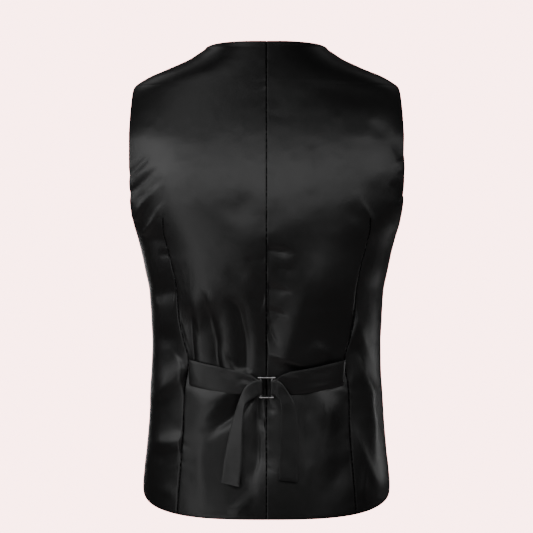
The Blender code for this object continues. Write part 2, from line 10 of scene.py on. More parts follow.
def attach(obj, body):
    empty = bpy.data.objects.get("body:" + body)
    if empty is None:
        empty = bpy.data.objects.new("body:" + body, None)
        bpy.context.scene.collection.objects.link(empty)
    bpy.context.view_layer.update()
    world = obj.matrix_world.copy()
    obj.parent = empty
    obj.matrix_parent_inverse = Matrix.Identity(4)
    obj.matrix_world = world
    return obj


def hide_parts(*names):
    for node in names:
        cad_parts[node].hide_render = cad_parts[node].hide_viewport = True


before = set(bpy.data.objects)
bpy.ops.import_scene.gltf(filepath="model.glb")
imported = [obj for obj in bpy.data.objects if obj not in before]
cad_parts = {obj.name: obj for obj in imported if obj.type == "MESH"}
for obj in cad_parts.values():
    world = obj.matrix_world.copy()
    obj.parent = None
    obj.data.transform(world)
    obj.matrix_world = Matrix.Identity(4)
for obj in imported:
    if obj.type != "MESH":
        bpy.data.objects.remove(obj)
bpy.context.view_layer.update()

# A satin-backed waistcoat in the hollow form it has when worn. Metres; Z is up, the fronts face -Y
# and the left side as worn is +X. The panels lie on the same level sections as the solids.

# ---- sizes ----


def table(row_type, rows):
    """Rows whose columns have this type's names."""
    return tuple(row_type(*row) for row in rows)


SEAM_GAP = 0.00004
SEAM_PRESS = 0.00008
BACK_CLOTH = 0.0016
FRONT_CLOTH = 0.0021
STRAP_CLOTH = 0.0012
RIM_ANGLE = 62
SMALL_EDGE_ANGLE = 40
FAR_FROM_SEAM = 0.05
SECTION_POWER = 2.4
SPREAD_POWER = 1.2
SECTION_EASE = 0.016
EASE_LOW = -0.075
EASE_HIGH = -0.020
EASE_SAMPLES = 4
EASE_SPREAD = 2.4

BACK_HEM = -0.6094
SIDE_HEM = -0.5775
UNDERARM = -0.2613
TIP_TURN = -0.0480
SHOULDER_TIP = -0.0248
NECK_POINT = 0.0261
BACK_NECK = 0.0325
SHOULDER_SEAM_Y = -0.008
CORNER_POWER = 1.38
TOUCH = 1e-6

Section = namedtuple("Section", "height edge_x edge_y front_edge back front")
SECTIONS = table(Section, (
    (-0.640, 0.1707, 0.000, 0.000, 0.1085, 0.1230),
    (-0.573, 0.1695, 0.000, 0.000, 0.1030, 0.1210),
    (-0.553, 0.1681, 0.000, 0.000, 0.1010, 0.1200),
    (-0.512, 0.1640, 0.000, 0.000, 0.0965, 0.1170),
    (-0.457, 0.1598, 0.000, 0.000, 0.0905, 0.1130),
    (-0.420, 0.1579, 0.000, 0.000, 0.0880, 0.1110),
    (-0.381, 0.1571, 0.000, 0.000, 0.0905, 0.1100),
    (-0.346, 0.1585, 0.000, 0.000, 0.0975, 0.1110),
    (-0.305, 0.1612, 0.000, 0.000, 0.1055, 0.1140),
    (-0.278, 0.1667, 0.000, 0.000, 0.1095, 0.1160),
    (-0.261, 0.1701, 0.000, 0.000, 0.1115, 0.1170),
    (-0.237, 0.1753, 0.018, 0.030, 0.1135, 0.1175),
    (-0.209, 0.1825, 0.036, 0.055, 0.1150, 0.1170),
    (-0.183, 0.1859, 0.048, 0.070, 0.1145, 0.1150),
    (-0.142, 0.1868, 0.056, 0.078, 0.1110, 0.1075),
    (-0.102, 0.1869, 0.054, 0.068, 0.1050, 0.0970),
    (-0.075, 0.1860, 0.046, 0.055, 0.0985, 0.0880),
    (-0.048, 0.1843, 0.033, 0.041, 0.0915, 0.0805),
    (-0.035, 0.1831, 0.023, 0.030, 0.0882, 0.0765),
    (-0.028, 0.1815, 0.013, 0.019, 0.0864, 0.0748),
    (-0.0248, 0.1801, 0.000, 0.000, 0.0855, 0.0740),
    (-0.021, 0.1753, 0.000, 0.000, 0.0845, 0.0730),
    (-0.012, 0.1602, 0.000, 0.000, 0.0815, 0.0705),
    (-0.004, 0.1409, 0.000, 0.000, 0.0785, 0.0685),
    (0.004, 0.1224, 0.000, 0.000, 0.0750, 0.0665),
    (0.012, 0.1059, 0.000, 0.000, 0.0710, 0.0645),
    (0.021, 0.0921, 0.000, 0.000, 0.0665, 0.0620),
    (0.026, 0.0853, 0.000, 0.000, 0.0640, 0.0600),
    (0.033, 0.0830, 0.000, 0.000, 0.0620, 0.0580),
))

DartMark = namedtuple("DartMark", "height reach")
DART_LINE = table(DartMark, (
    (-0.620, 0.1210),
    (-0.597, 0.1200),
    (-0.557, 0.1170),
    (-0.526, 0.1145),
    (-0.489, 0.1120),
    (-0.452, 0.1113),
    (-0.431, 0.1100),
    (-0.397, 0.1053),
    (-0.372, 0.1114),
    (-0.340, 0.1180),
    (-0.305, 0.1207),
    (-0.271, 0.1270),
    (-0.250, 0.1325),
    (-0.217, 0.1390),
    (-0.190, 0.1375),
    (-0.120, 0.1310),
    (-0.070, 0.1240),
    (-0.025, 0.1120),
    (0.000, 0.0950),
    (0.026, 0.0640),
    (0.032, 0.0600),
))
DART_TOP = -0.205
DART_FADE = 0.02

# The camera stands level behind the back, and the crease plan is drawn as seen from there: a sheet
# of 533 by 533 units, with columns to the right, rows downwards and the seam on its middle column
VIEW_DISTANCE = 3.2
VIEW_HEIGHT = -0.27225
PLAN_SIZE = 533
PLAN_UNIT = 0.001375
SENSOR = 36.0

# A crease runs from its start through its middle to its end, in plan units. left and right are how
# far its sides reach when it is drawn downwards (below and above when it is drawn to the right),
# and rise is how far it stands out, in millimetres (a trough has a negative rise). grow is how much
# wider it is at its end than at its start. held names the ends where a seam or the belt holds it at
# full height, s for the start and e for the end. power is 2 for a round crease and 1 for a sharp one
Crease = namedtuple("Crease", "x1 y1 x2 y2 x3 y3 left right rise grow held power", defaults=(1.0, "", 1.8))
VALLEYS = table(Crease, (
    (206, 240, 266, 236, 346, 192, 17, 17, 1.6),
    (266, 236, 265, 310, 264, 394, 15, 16, -2.4, 1.0, "e"),
    (264, 384, 264, 436, 262, 500, 14, 18, -5.0, 1.0, "s"),
))
CREASES = table(Crease, (
    # left back, above the belt
    (180, 308, 200, 302, 224, 312, 26, 24, 4.5),
    (190, 304, 191, 334, 193, 376, 8, 4, -4.6, 1.0, "e", 1.15),
    (199, 282, 212, 324, 220, 376, 14, 4, -7.0, 1.0, "e", 1.15),
    (222, 296, 242, 320, 246, 376, 9, 5.5, -5.6, 1.0, "e", 1.15),
    (214, 220, 236, 208, 256, 194, 14, 14, -1.1),
    (244, 258, 254, 259, 266, 258, 5, 3, -0.8, 1.0, "e"),
    (220, 270, 236, 272, 252, 274, 9, 7, -1.0),
    (246, 300, 254, 298, 266, 300, 6, 4, -0.9, 1.0, "e"),
    # right back, above the belt
    (330, 240, 309, 296, 284, 368, 16, 34, 5.6, 1.0, "e"),
    (312, 338, 322, 350, 334, 364, 8, 5, 1.6),
    (266, 251, 280, 251, 298, 253, 10, 4, -2.6, 0.5, "s", 1.3),
    (270, 268, 285, 270, 302, 272, 9, 6, -1.3, 0.7),
    (266, 288, 279, 289, 294, 294, 10, 4, -3.0, 0.5, "s", 1.3),
    (266, 311, 276, 313, 288, 320, 9, 4, -2.6, 0.5, "s", 1.3),
    (266, 324, 273, 338, 281, 352, 4, 3, -2.4, 1.0, "s", 1.3),
    (342, 200, 354, 214, 367, 234, 8, 7, -0.9),
    # right side panel
    (345, 298, 356, 326, 373, 364, 9, 7, 3.8, 1.1),
    (350, 350, 368, 390, 379, 486, 9, 6, 4.8, 1.0),
    (351, 412, 364, 456, 384, 494, 6, 6, 2.4),
    (364, 462, 364, 484, 365, 508, 3, 3, 1.2),
    (358, 196, 368, 214, 381, 234, 3, 4, 1.1),
    (365, 224, 369, 234, 374, 246, 3, 3, 1.2),
    # right back, below the belt
    (304, 386, 305, 430, 304, 500, 7, 8, -2.8, 1.2, "s"),
    (330, 384, 322, 440, 300, 520, 10, 12, 2.4, 1.2, "s"),
    (312, 415, 328, 412, 344, 410, 16, 20, 3.4),
    (352, 452, 340, 474, 324, 502, 12, 11, -2.0),
    # left back, below the belt
    (244, 378, 218, 400, 192, 434, 20, 9, 4.4, 1.0, "s"),
    (252, 394, 233, 417, 204, 441, 11, 4, -5.0, 1.0, "s", 1.25),
    (206, 424, 202, 464, 203, 516, 9, 9, 1.8),
    (257, 390, 257, 444, 253, 514, 13, 4, -6.0, 1.0, "s", 1.25),
    (228, 500, 240, 508, 258, 484, 6, 7, 1.4),
    # left side panel
    (146, 243, 156, 241, 168, 241, 7, 10, -1.8, 1.0, "e"),
    (158, 256, 165, 255, 171, 255, 4, 4, -1.2, 1.0, "e"),
    (150, 298, 160, 294, 175, 292, 10, 13, -2.2, 1.0, "e"),
    (150, 332, 164, 338, 180, 342, 10, 9, -1.6),
    (148, 404, 170, 386, 189, 372, 8, 14, 5.6, 1.0, "e"),
    (148, 450, 166, 443, 184, 445, 8, 10, 3.6, 1.0, "e"),
    (156, 494, 168, 492, 180, 494, 6, 8, 1.2),
    # the middle, under the buckle
    (264, 396, 264, 406, 265, 420, 3, 2.5, 1.6, 1.0, "s"),
    (254, 410, 266, 428, 282, 442, 4, 4, -2.4),
    (268, 398, 271, 406, 276, 414, 4, 4, -1.2, 1.0, "s"),
    # armholes
    (124, 178, 138, 166, 154, 154, 4, 3.5, -1.3, 1.0, "s"),
    (125, 198, 142, 183, 161, 168, 4, 4, -1.5, 1.0, "s"),
    (132, 220, 148, 200, 166, 182, 3, 4, 1.8, 1.0, "s"),
    (143, 236, 155, 217, 167, 202, 3, 3, 1.5, 1.0, "s"),
    (368, 118, 384, 136, 403, 160, 8, 9, -1.4, 1.0, "e"),
    (381, 134, 393, 150, 405, 172, 6, 6, 0.9, 1.0, "e"),
    (386, 184, 395, 190, 405, 198, 6, 6, -1.4, 1.0, "e"),
    # shoulders
    (300, 82, 350, 90, 404, 104, 12, 18, -2.2),
))
CREASE_STEPS = 14
CREASE_FADE = 0.45
CREASE_HELD = 0.06
CREASE_SWAY = 1.6
HELD_REACH = 2.5

# The grooves and puckers of the pressed seams, and the slack of the cloth between the creases
GROOVE_DEPTH = 0.0009
GROOVE_REACH = 0.0008
PUCKER_RISE = 0.00055
PUCKER_REACH = 0.0055
PUCKER_START = 0.0012
PUCKER_LEAN = 0.35
FINE_PUCKER = 0.0034
BROAD_PUCKER = 0.0075
PUCKER_RUN = 0.030
SLACK_RISE = 0.00042
SLACK_PITCH = 0.030
SLACK_SHARE_UP = 0.8
FINE_SLACK_RISE = 0.00015
FINE_SLACK_PITCH = 0.012
FRONT_SLACK_RISE = 0.0003
FRONT_SLACK_PITCH = 0.040
FRONT_CALM_START = 0.012
FRONT_CALM_END = 0.05
TAIL_SLACK_RISE = 0.0003

# The straps press the back in along their line
BELT_ROOT_X = 0.1045
BELT_ROOT_Z = -0.4146
BELT_CENTRE_Z = -0.4337
BELT_PRESS = 0.0024
BELT_BAND = 0.016
BELT_RUN_OUT = 0.012
STRAP_CROWN = 0.0004
UNDER_BELT_SHARE = 0.5

# The straps: their edges from the dart to the buckle, and the tails that hang from it
BeltMark = namedtuple("BeltMark", "x upper_z lower_z lift")
STRAP_LEAN = {1: 0.0006, -1: 0.0054}
BELT = table(BeltMark, (
    (0.1045, -0.3972, -0.4320, -0.0016),
    (0.0990, -0.3986, -0.4332, 0.0010),
    (0.0850, -0.4018, -0.4362, 0.0014),
    (0.0600, -0.4075, -0.4410, 0.0014),
    (0.0400, -0.4112, -0.4430, 0.0014),
    (0.0290, -0.4135, -0.4428, 0.0016),
    (0.0190, -0.4180, -0.4400, 0.0022),
    (0.0130, -0.4225, -0.4440, 0.0022),
))
TailMark = namedtuple("TailMark", "outer_x outer_z outer_lift inner_x inner_z inner_lift")
LEFT_TAIL = table(TailMark, (
    (0.0120, -0.4235, 0.0074, 0.0115, -0.4450, 0.0074),
    (0.0215, -0.4275, 0.0080, 0.0175, -0.4490, 0.0086),
    (0.0290, -0.4350, 0.0074, 0.0240, -0.4530, 0.0096),
    (0.0345, -0.4460, 0.0064, 0.0285, -0.4600, 0.0100),
    (0.0415, -0.4670, 0.0052, 0.0305, -0.4760, 0.0100),
    (0.0485, -0.4925, 0.0044, 0.0312, -0.4960, 0.0098),
    (0.0540, -0.5205, 0.0040, 0.0316, -0.5220, 0.0094),
    (0.0575, -0.5420, 0.0038, 0.0328, -0.5440, 0.0088),
    (0.0598, -0.5605, 0.0036, 0.0359, -0.5660, 0.0080),
))
RIGHT_TAIL = table(TailMark, (
    (0.0115, -0.4235, 0.0074, 0.0115, -0.4450, 0.0074),
    (0.0185, -0.4265, 0.0080, 0.0150, -0.4480, 0.0078),
    (0.0255, -0.4355, 0.0078, 0.0180, -0.4530, 0.0076),
    (0.0320, -0.4460, 0.0074, 0.0195, -0.4600, 0.0072),
    (0.0385, -0.4600, 0.0066, 0.0197, -0.4700, 0.0068),
    (0.0415, -0.4770, 0.0058, 0.0190, -0.4850, 0.0064),
    (0.0428, -0.5050, 0.0050, 0.0178, -0.5080, 0.0058),
    (0.0428, -0.5320, 0.0044, 0.0170, -0.5330, 0.0052),
    (0.0412, -0.5600, 0.0040, 0.0164, -0.5570, 0.0048),
))
STRAP_CREASES = table(Crease, (
    (236, 371, 246, 375, 256, 381, 2, 2, 0.9),
    (238, 380, 247, 380, 255, 384, 2, 2, -0.9),
    (236, 386, 245, 385, 253, 388, 2, 2, 0.8),
    (214, 372, 226, 374, 236, 382, 4, 3, -0.8),
    (192, 368, 200, 378, 206, 388, 5, 5, 0.5),
    (280, 381, 290, 379, 302, 378, 2, 3, 0.8),
    (300, 386, 318, 386, 338, 380, 3, 3, 0.9),
    (306, 374, 322, 371, 340, 370, 4, 4, -0.5),
))
BUCKLE_LIFT = 0.0052
BUCKLE_TOP = -0.4206
BUCKLE_BOTTOM = -0.4470
RAIL_X = 0.0076
WIRE_RADIUS = 0.0009
BOTTOM_WIRE_RADIUS = WIRE_RADIUS * 1.1
BOW_WIRE_RADIUS = WIRE_RADIUS * 0.85
BOW_DEPTH = 0.0008
COLLAR_RADIUS = 0.0016
COLLAR_HALF = 0.0018
TOP_BAR_HALF = 0.0117
BOTTOM_BAR_HALF = 0.0094
COLLAR_X = 0.0092
LOOP_REACH = 0.0020
UPPER_ROOM = 0.0032
LOWER_ROOM = 0.0026

# The fronts
EdgeMark = namedtuple("EdgeMark", "height x")
FRONT_EDGE = table(EdgeMark, (
    (-0.573, -0.0150),
    (-0.262, -0.0150),
    (-0.246, -0.0130),
    (-0.225, -0.0030),
    (-0.180, 0.0220),
    (-0.130, 0.0460),
    (-0.080, 0.0640),
    (-0.030, 0.0775),
    (0.005, 0.0835),
    (0.0261, 0.0853),
))
FRONT_EDGE_HEM = -0.573
LAP_HALF = 0.015
V_BOTTOM = -0.246
V_TURN = -0.002
FRONT_POINT_X = 0.045
FRONT_POINT_Z = -0.630
FRONT_HEM_POWER = 1.15
HEM_FADE = 0.40
UNDERLAP_START = 0.050
UNDERLAP_END = 0.027
UNDERLAP_DEPTH = 0.0029
LAP_TOP = -0.215
UNDERLAP_TOP = -0.170
SHOULDER_SHARE = 1 / 35
FRONT_CREASES = table(Crease, (
    (258, 262, 232, 250, 196, 240, 8, 9, -1.6),
    (276, 264, 302, 252, 340, 242, 8, 9, -1.6),
    (256, 330, 226, 336, 190, 330, 9, 9, 1.6),
    (280, 332, 310, 338, 350, 330, 9, 9, 1.5),
    (250, 380, 214, 376, 172, 362, 9, 10, -2.2),
    (284, 384, 320, 378, 362, 366, 9, 10, -2.2),
    (236, 410, 204, 420, 168, 414, 10, 9, 1.8),
    (300, 414, 332, 422, 370, 416, 10, 9, 1.8),
    (222, 440, 218, 478, 216, 520, 9, 9, 1.4),
    (312, 444, 318, 480, 320, 520, 9, 9, 1.4),
    (150, 226, 166, 236, 182, 262, 7, 8, 1.8),
    (384, 228, 368, 238, 352, 266, 8, 7, 1.8),
    (152, 280, 166, 288, 186, 290, 8, 8, -1.6),
    (382, 284, 368, 292, 346, 294, 8, 8, -1.6),
))

BUTTON_COUNT = 5
BUTTON_TOP = -0.262
BUTTON_PITCH = 0.069
BUTTON_CLEARANCE = 0.0007
HOLE_REACH = 0.0014
DISH_HEIGHT = 0.0017
BUTTONHOLE_MIDDLE = -0.0035
BUTTONHOLE_HALF = 0.0085
BUTTONHOLE_SPREAD = 0.0011
BUTTONHOLE_SQUARENESS = 1.15
BUTTONHOLE_STITCH = 0.00045
STITCH_LIFT = 0.0002
THREAD_RADIUS = 0.00035
THREAD_SINK = 0.0003
THREAD_RISE = 0.0007
BUTTON_SIDES = 48
ProfileMark = namedtuple("ProfileMark", "radius height")
BUTTON_PROFILE = table(ProfileMark, (
    (0.0, 0.0017),
    (0.0042, 0.0017),
    (0.0050, 0.0019),
    (0.0057, 0.0026),
    (0.0063, 0.0028),
    (0.0070, 0.0026),
    (0.0075, 0.0018),
    (0.0074, 0.0010),
    (0.0066, 0.0003),
    (0.0055, 0.0),
    (0.0, 0.0),
))

# ---- the form of the garment ----


def mix(a, b, t):
    return a + (b - a) * t


def soft_step(low, high, value):
    t = np.clip((value - low) / (high - low), 0.0, 1.0)
    return t * t * (3.0 - 2.0 * t)


def hill(value):
    return np.exp(-(value**2))


def along(table, column, height):
    """Values of a table's column at these heights, on a smooth curve with no overshoot."""
    heights = np.array([row.height for row in table])
    values = np.array([getattr(row, column) for row in table])
    steps = np.diff(heights)
    slopes = np.diff(values) / steps
    before, after = slopes[:-1], slopes[1:]
    same_way = before * after > 0
    total = np.where(same_way, before + after, 1.0)
    leans = np.concatenate([slopes[:1], np.where(same_way, 2 * before * after / total, 0.0), slopes[-1:]])
    at = np.clip(height, heights[0], heights[-1])
    i = np.clip(np.searchsorted(heights, at, side="right") - 1, 0, len(steps) - 1)
    t = (at - heights[i]) / steps[i]
    rise = (2 * t**3 - 3 * t**2 + 1) * values[i] + (3 * t**2 - 2 * t**3) * values[i + 1]
    lean = (t**3 - 2 * t**2 + t) * leans[i] + (t**3 - t**2) * leans[i + 1]
    return rise + steps[i] * lean


def section(column, height):
    """A column of the sections; depths are eased so that the gloss runs without a break."""
    if column not in ("back", "front"):
        return along(SECTIONS, column, height)
    reach = SECTION_EASE * (1.0 - soft_step(EASE_LOW, EASE_HIGH, height))
    steps = np.arange(-EASE_SAMPLES, EASE_SAMPLES + 1)
    weights = hill(steps / EASE_SPREAD)
    samples = [w * along(SECTIONS, column, height + s * reach) for s, w in zip(steps, weights)]
    return sum(samples) / weights.sum()


def half_width(height):
    ratio = section("edge_y", height) / section("back", height)
    return section("edge_x", height) / (1.0 - ratio**2) ** (1.0 / SECTION_POWER)


def depth_at(height, facing, near):
    """The form's depth on the face that it is measured from where near is true, or else on the other."""
    own, other = ("back", "front") if facing > 0 else ("front", "back")
    return np.where(near, section(own, height), section(other, height))


def form(spread, height, facing):
    """Points of the plain form: spread is 0 at the centre and 1 at the side, and past 1 it comes
    round to the other face. facing is 1 on the back and -1 on the front."""
    angle = math.pi / 2 * np.abs(spread) ** SPREAD_POWER
    x = half_width(height) * np.abs(np.sin(angle)) ** (2.0 / SECTION_POWER)
    cosine = np.cos(angle)
    depth = depth_at(height, facing, cosine >= 0)
    return np.stack([np.copysign(x, spread), facing * depth * cosine, height + 0.0 * x], axis=-1)


def spread_of_x(x, height):
    ratio = np.minimum(np.abs(x) / half_width(height), 1.0)
    angle = np.arcsin(ratio ** (SECTION_POWER / 2.0))
    return np.copysign((angle * 2 / math.pi) ** (1.0 / SPREAD_POWER), x)


def spread_of_y(y, height, facing):
    depth = depth_at(height, facing, y * facing >= 0)
    angle = np.arccos(np.clip(y * facing / depth, -1.0, 1.0))
    return (angle * 2 / math.pi) ** (1.0 / SPREAD_POWER)


def over_back(x, z, lift):
    """A point that stands off the plain back by lift."""
    step = 1e-3
    spread = spread_of_x(x, z)
    here = form(spread, z, 1)
    across = form(spread + step, z, 1) - form(spread - step, z, 1)
    up = form(spread, z + step, 1) - form(spread, z - step, 1)
    out = np.cross(up, across)
    return here + out / np.linalg.norm(out) * lift


def levels(marks, counts):
    """Values that run through the marks, with counts[i] equal steps between marks i and i + 1."""
    runs = [np.linspace(low, high, count + 1)[1:] for low, high, count in zip(marks, marks[1:], counts)]
    return np.concatenate([[marks[0]]] + runs)


def eased(count, ease):
    """count + 1 values from 0 to 1 that lie closer together near both ends."""
    t = np.linspace(0.0, 1.0, count + 1)
    return t - ease * np.sin(2 * math.pi * t) / (2 * math.pi)


def normals_of(points):
    """Unit normals of a grid of points: across the columns times up the rows."""
    across = np.gradient(points, axis=1)
    up = np.gradient(points, axis=0)
    out = np.cross(across, up)
    return out / np.maximum(np.linalg.norm(out, axis=-1, keepdims=True), 1e-12)


def plan_of(points):
    """Columns and rows of points on the crease plan."""
    unit = PLAN_UNIT * (1.0 - points[..., 1] / VIEW_DISTANCE)
    middle = PLAN_SIZE / 2
    return middle - points[..., 0] / unit, middle - (points[..., 2] - VIEW_HEIGHT) / unit


# ---- relief of the cloth ----


def wander(value, pitch, seed):
    """A smooth uneven wave between -1 and 1, with a turn at about each pitch."""
    knots = np.random.default_rng(seed).uniform(-1.0, 1.0, 2048)
    at = value / pitch + 1000.0
    i = np.floor(at).astype(int)
    return mix(knots[i % 2048], knots[(i + 1) % 2048], soft_step(0.0, 1.0, at - i))


def drift(a, b, pitch, seed):
    """A smooth uneven field between about -1 and 1."""
    tall = np.random.default_rng(seed).uniform(-1.0, 1.0, (128, 128))
    at_a, at_b = a / pitch + 60.0, b / pitch + 60.0
    i, j = np.floor(at_a).astype(int), np.floor(at_b).astype(int)
    t, s = soft_step(0.0, 1.0, at_a - i), soft_step(0.0, 1.0, at_b - j)
    i, j, k, m = i % 128, j % 128, (i + 1) % 128, (j + 1) % 128
    return mix(mix(tall[i, j], tall[k, j], t), mix(tall[i, m], tall[k, m], t), s)


def crease_height(column, row, crease):
    """How far one crease lifts the cloth at these places of the plan."""
    start, middle, end = np.array(crease[:6], dtype=float).reshape(3, 2)
    bend = 2 * middle - (start + end) / 2
    t = np.linspace(0.0, 1.0, CREASE_STEPS + 1)[:, None]
    line = (1 - t) ** 2 * start + 2 * t * (1 - t) * bend + t**2 * end
    margin = 2.8 * max(crease.left, crease.right) * max(crease.grow, 1.0)
    low, high = line.min(axis=0) - margin, line.max(axis=0) + margin
    near = (column > low[0]) & (column < high[0]) & (row > low[1]) & (row < high[1])
    place = np.stack([column[near], row[near]], axis=-1)
    nearest = np.full(len(place), np.inf)
    share = np.zeros(len(place))
    reach = np.full(len(place), float(crease.left))
    for k, (a, b) in enumerate(zip(line, line[1:])):
        run = b - a
        away = place - a
        s = np.clip(away @ run / (run @ run), 0.0, 1.0)
        gap = np.linalg.norm(away - s[:, None] * run, axis=1)
        turn = run[0] * away[:, 1] - run[1] * away[:, 0]
        closer = gap < nearest
        nearest = np.where(closer, gap, nearest)
        share = np.where(closer, (k + s) / CREASE_STEPS, share)
        reach = np.where(closer, np.where(turn > 0, crease.left, crease.right), reach)
    first = CREASE_HELD if "s" in crease.held else CREASE_FADE
    last = CREASE_HELD if "e" in crease.held else CREASE_FADE
    fade = soft_step(0.0, first, share) * soft_step(0.0, last, 1.0 - share)
    reach = reach * mix(1.0, crease.grow, share) * (0.7 + 0.3 * fade)
    lift = np.zeros(column.shape)
    lift[near] = crease.rise * 0.001 * fade * np.exp(-((nearest / reach) ** crease.power))
    return lift


def seam_line(gap, run, seed):
    """A pressed seam's groove, with the small uneven puckers that its stitches draw up."""
    groove = -GROOVE_DEPTH * hill(gap / GROOVE_REACH)
    lean = run + PUCKER_LEAN * gap
    pull = wander(lean, FINE_PUCKER, seed) * 0.5 + wander(lean, BROAD_PUCKER, seed + 1)
    strong = 0.45 + 0.55 * wander(run, PUCKER_RUN, seed + 2)
    away = soft_step(0.0, PUCKER_START, gap)
    return groove + PUCKER_RISE * pull * strong * away * np.exp(-gap / PUCKER_REACH)


def past_dart(x, z):
    """How far beyond the dart's line these places lie, less than nothing on the centre's side."""
    return np.abs(x) - along(DART_LINE, "reach", z)


def dart_share(z):
    """1 where the dart is sewn at these heights, and 0 above its top."""
    return 1.0 - soft_step(DART_TOP - DART_FADE, DART_TOP, z)


def creased(points, creases):
    """How far these creases lift the cloth at these points."""
    column, row = plan_of(points)
    sway = CREASE_SWAY * drift(column, row, 17.0, 3), CREASE_SWAY * drift(column, row, 17.0, 4)
    return sum(crease_height(column + sway[0], row + sway[1], crease) for crease in creases)


def panel_creased(points, creases, side):
    """As creased, for a back, where no crease crosses the centre seam or the dart."""
    x, z = points[..., 0], points[..., 2]
    unit = PLAN_UNIT * (1.0 - np.mean(points[..., 1]) / VIEW_DISTANCE)
    past = past_dart(x, z) / unit
    on_dart = dart_share(z)
    inner = 1.0 - on_dart * soft_step(-HELD_REACH, 0.0, past)
    outer = 1.0 - on_dart * (1.0 - soft_step(0.0, HELD_REACH, past))
    clear = soft_step(0.0, HELD_REACH, np.abs(x) / unit)
    lift = 0.0 * x
    for crease in creases:
        middle_x = (PLAN_SIZE / 2 - crease.x2) * unit
        middle_z = VIEW_HEIGHT - (crease.y2 - PLAN_SIZE / 2) * unit
        if middle_x * side > 0:
            beyond = abs(middle_x) > along(DART_LINE, "reach", middle_z)
            lift = lift + creased(points, (crease,)) * (outer if beyond else inner)
    return lift * clear


def belt_height(x):
    return mix(BELT_CENTRE_Z, BELT_ROOT_Z, np.minimum(np.abs(x) / BELT_ROOT_X, 1.0))


def seam_distance(points):
    """How far these points of a back lie from its centre seam or its dart."""
    x, z = points[..., 0], points[..., 2]
    dart = np.abs(past_dart(x, z)) + FAR_FROM_SEAM * (z > DART_TOP)
    return np.minimum(np.abs(x), dart)


def back_relief(points, side):
    """How far the back's cloth stands off the plain form."""
    x, z = points[..., 0], points[..., 2]
    lift = creased(points, VALLEYS) + panel_creased(points, CREASES, side)
    on_belt = hill((z - belt_height(x)) / BELT_BAND)
    on_belt = on_belt * (1.0 - soft_step(BELT_ROOT_X, BELT_ROOT_X + BELT_RUN_OUT, np.abs(x)))
    lift = mix(lift, np.minimum(lift, 0.0) * UNDER_BELT_SHARE - BELT_PRESS, on_belt)
    lift = lift + SLACK_RISE * drift(x, z * SLACK_SHARE_UP, SLACK_PITCH, 5)
    lift = lift + FINE_SLACK_RISE * drift(x, z, FINE_SLACK_PITCH, 6)
    lift = lift + seam_line(np.abs(x), z, 11 + side)
    return lift + dart_share(z) * seam_line(np.abs(past_dart(x, z)), z, 31 + side)


# ---- panels ----

DART_SHARE = 9 / 16
DART_COLUMNS = 58
SIDE_COLUMNS = 42
DART_EASE = 0.62
SIDE_EASE = 0.55
BACK_ROWS = (150, 90, 22, 32)


def back_points(side):
    """The back's outer surface as a grid, from the centre seam to its outer edge and hem to top."""
    centre = levels((BACK_HEM, UNDERARM, TIP_TURN, SHOULDER_TIP, BACK_NECK), BACK_ROWS)[:, None]
    edge = levels((SIDE_HEM, UNDERARM, TIP_TURN, SHOULDER_TIP, NECK_POINT), BACK_ROWS)[:, None]
    inner = eased(DART_COLUMNS, DART_EASE) * DART_SHARE
    outer = DART_SHARE + eased(SIDE_COLUMNS, SIDE_EASE) * (1.0 - DART_SHARE)
    u = np.concatenate([inner, outer[1:]])[None, :]

    def outer_spread(height):
        on_shoulder = spread_of_y(SHOULDER_SEAM_Y + SEAM_GAP / 2, height, 1)
        on_side = spread_of_y(np.maximum(section("edge_y", height), SEAM_GAP / 2), height, 1)
        return np.where(height > SHOULDER_TIP - TOUCH, on_shoulder, on_side)

    def spread_at(height, side_height):
        dart_x = along(DART_LINE, "reach", height)
        within = spread_of_x(mix(SEAM_GAP / 2, dart_x, u / DART_SHARE), height)
        beyond = (u - DART_SHARE) / (1.0 - DART_SHARE)
        past = mix(spread_of_x(dart_x, height), outer_spread(side_height), beyond)
        return np.where(u <= DART_SHARE, within, past)

    turn = np.cos(math.pi / 2 * np.minimum(spread_at(centre, edge), 1.0) ** SPREAD_POWER)
    height = mix(centre, edge, (1.0 - turn) ** CORNER_POWER)
    points = form(spread_at(height, edge + 0.0 * height), height, 1)
    points[..., 0] *= side
    return points


FRONT_COLUMNS = 84
FRONT_EASE = 0.5
FRONT_ROWS = (136, 100, 28)


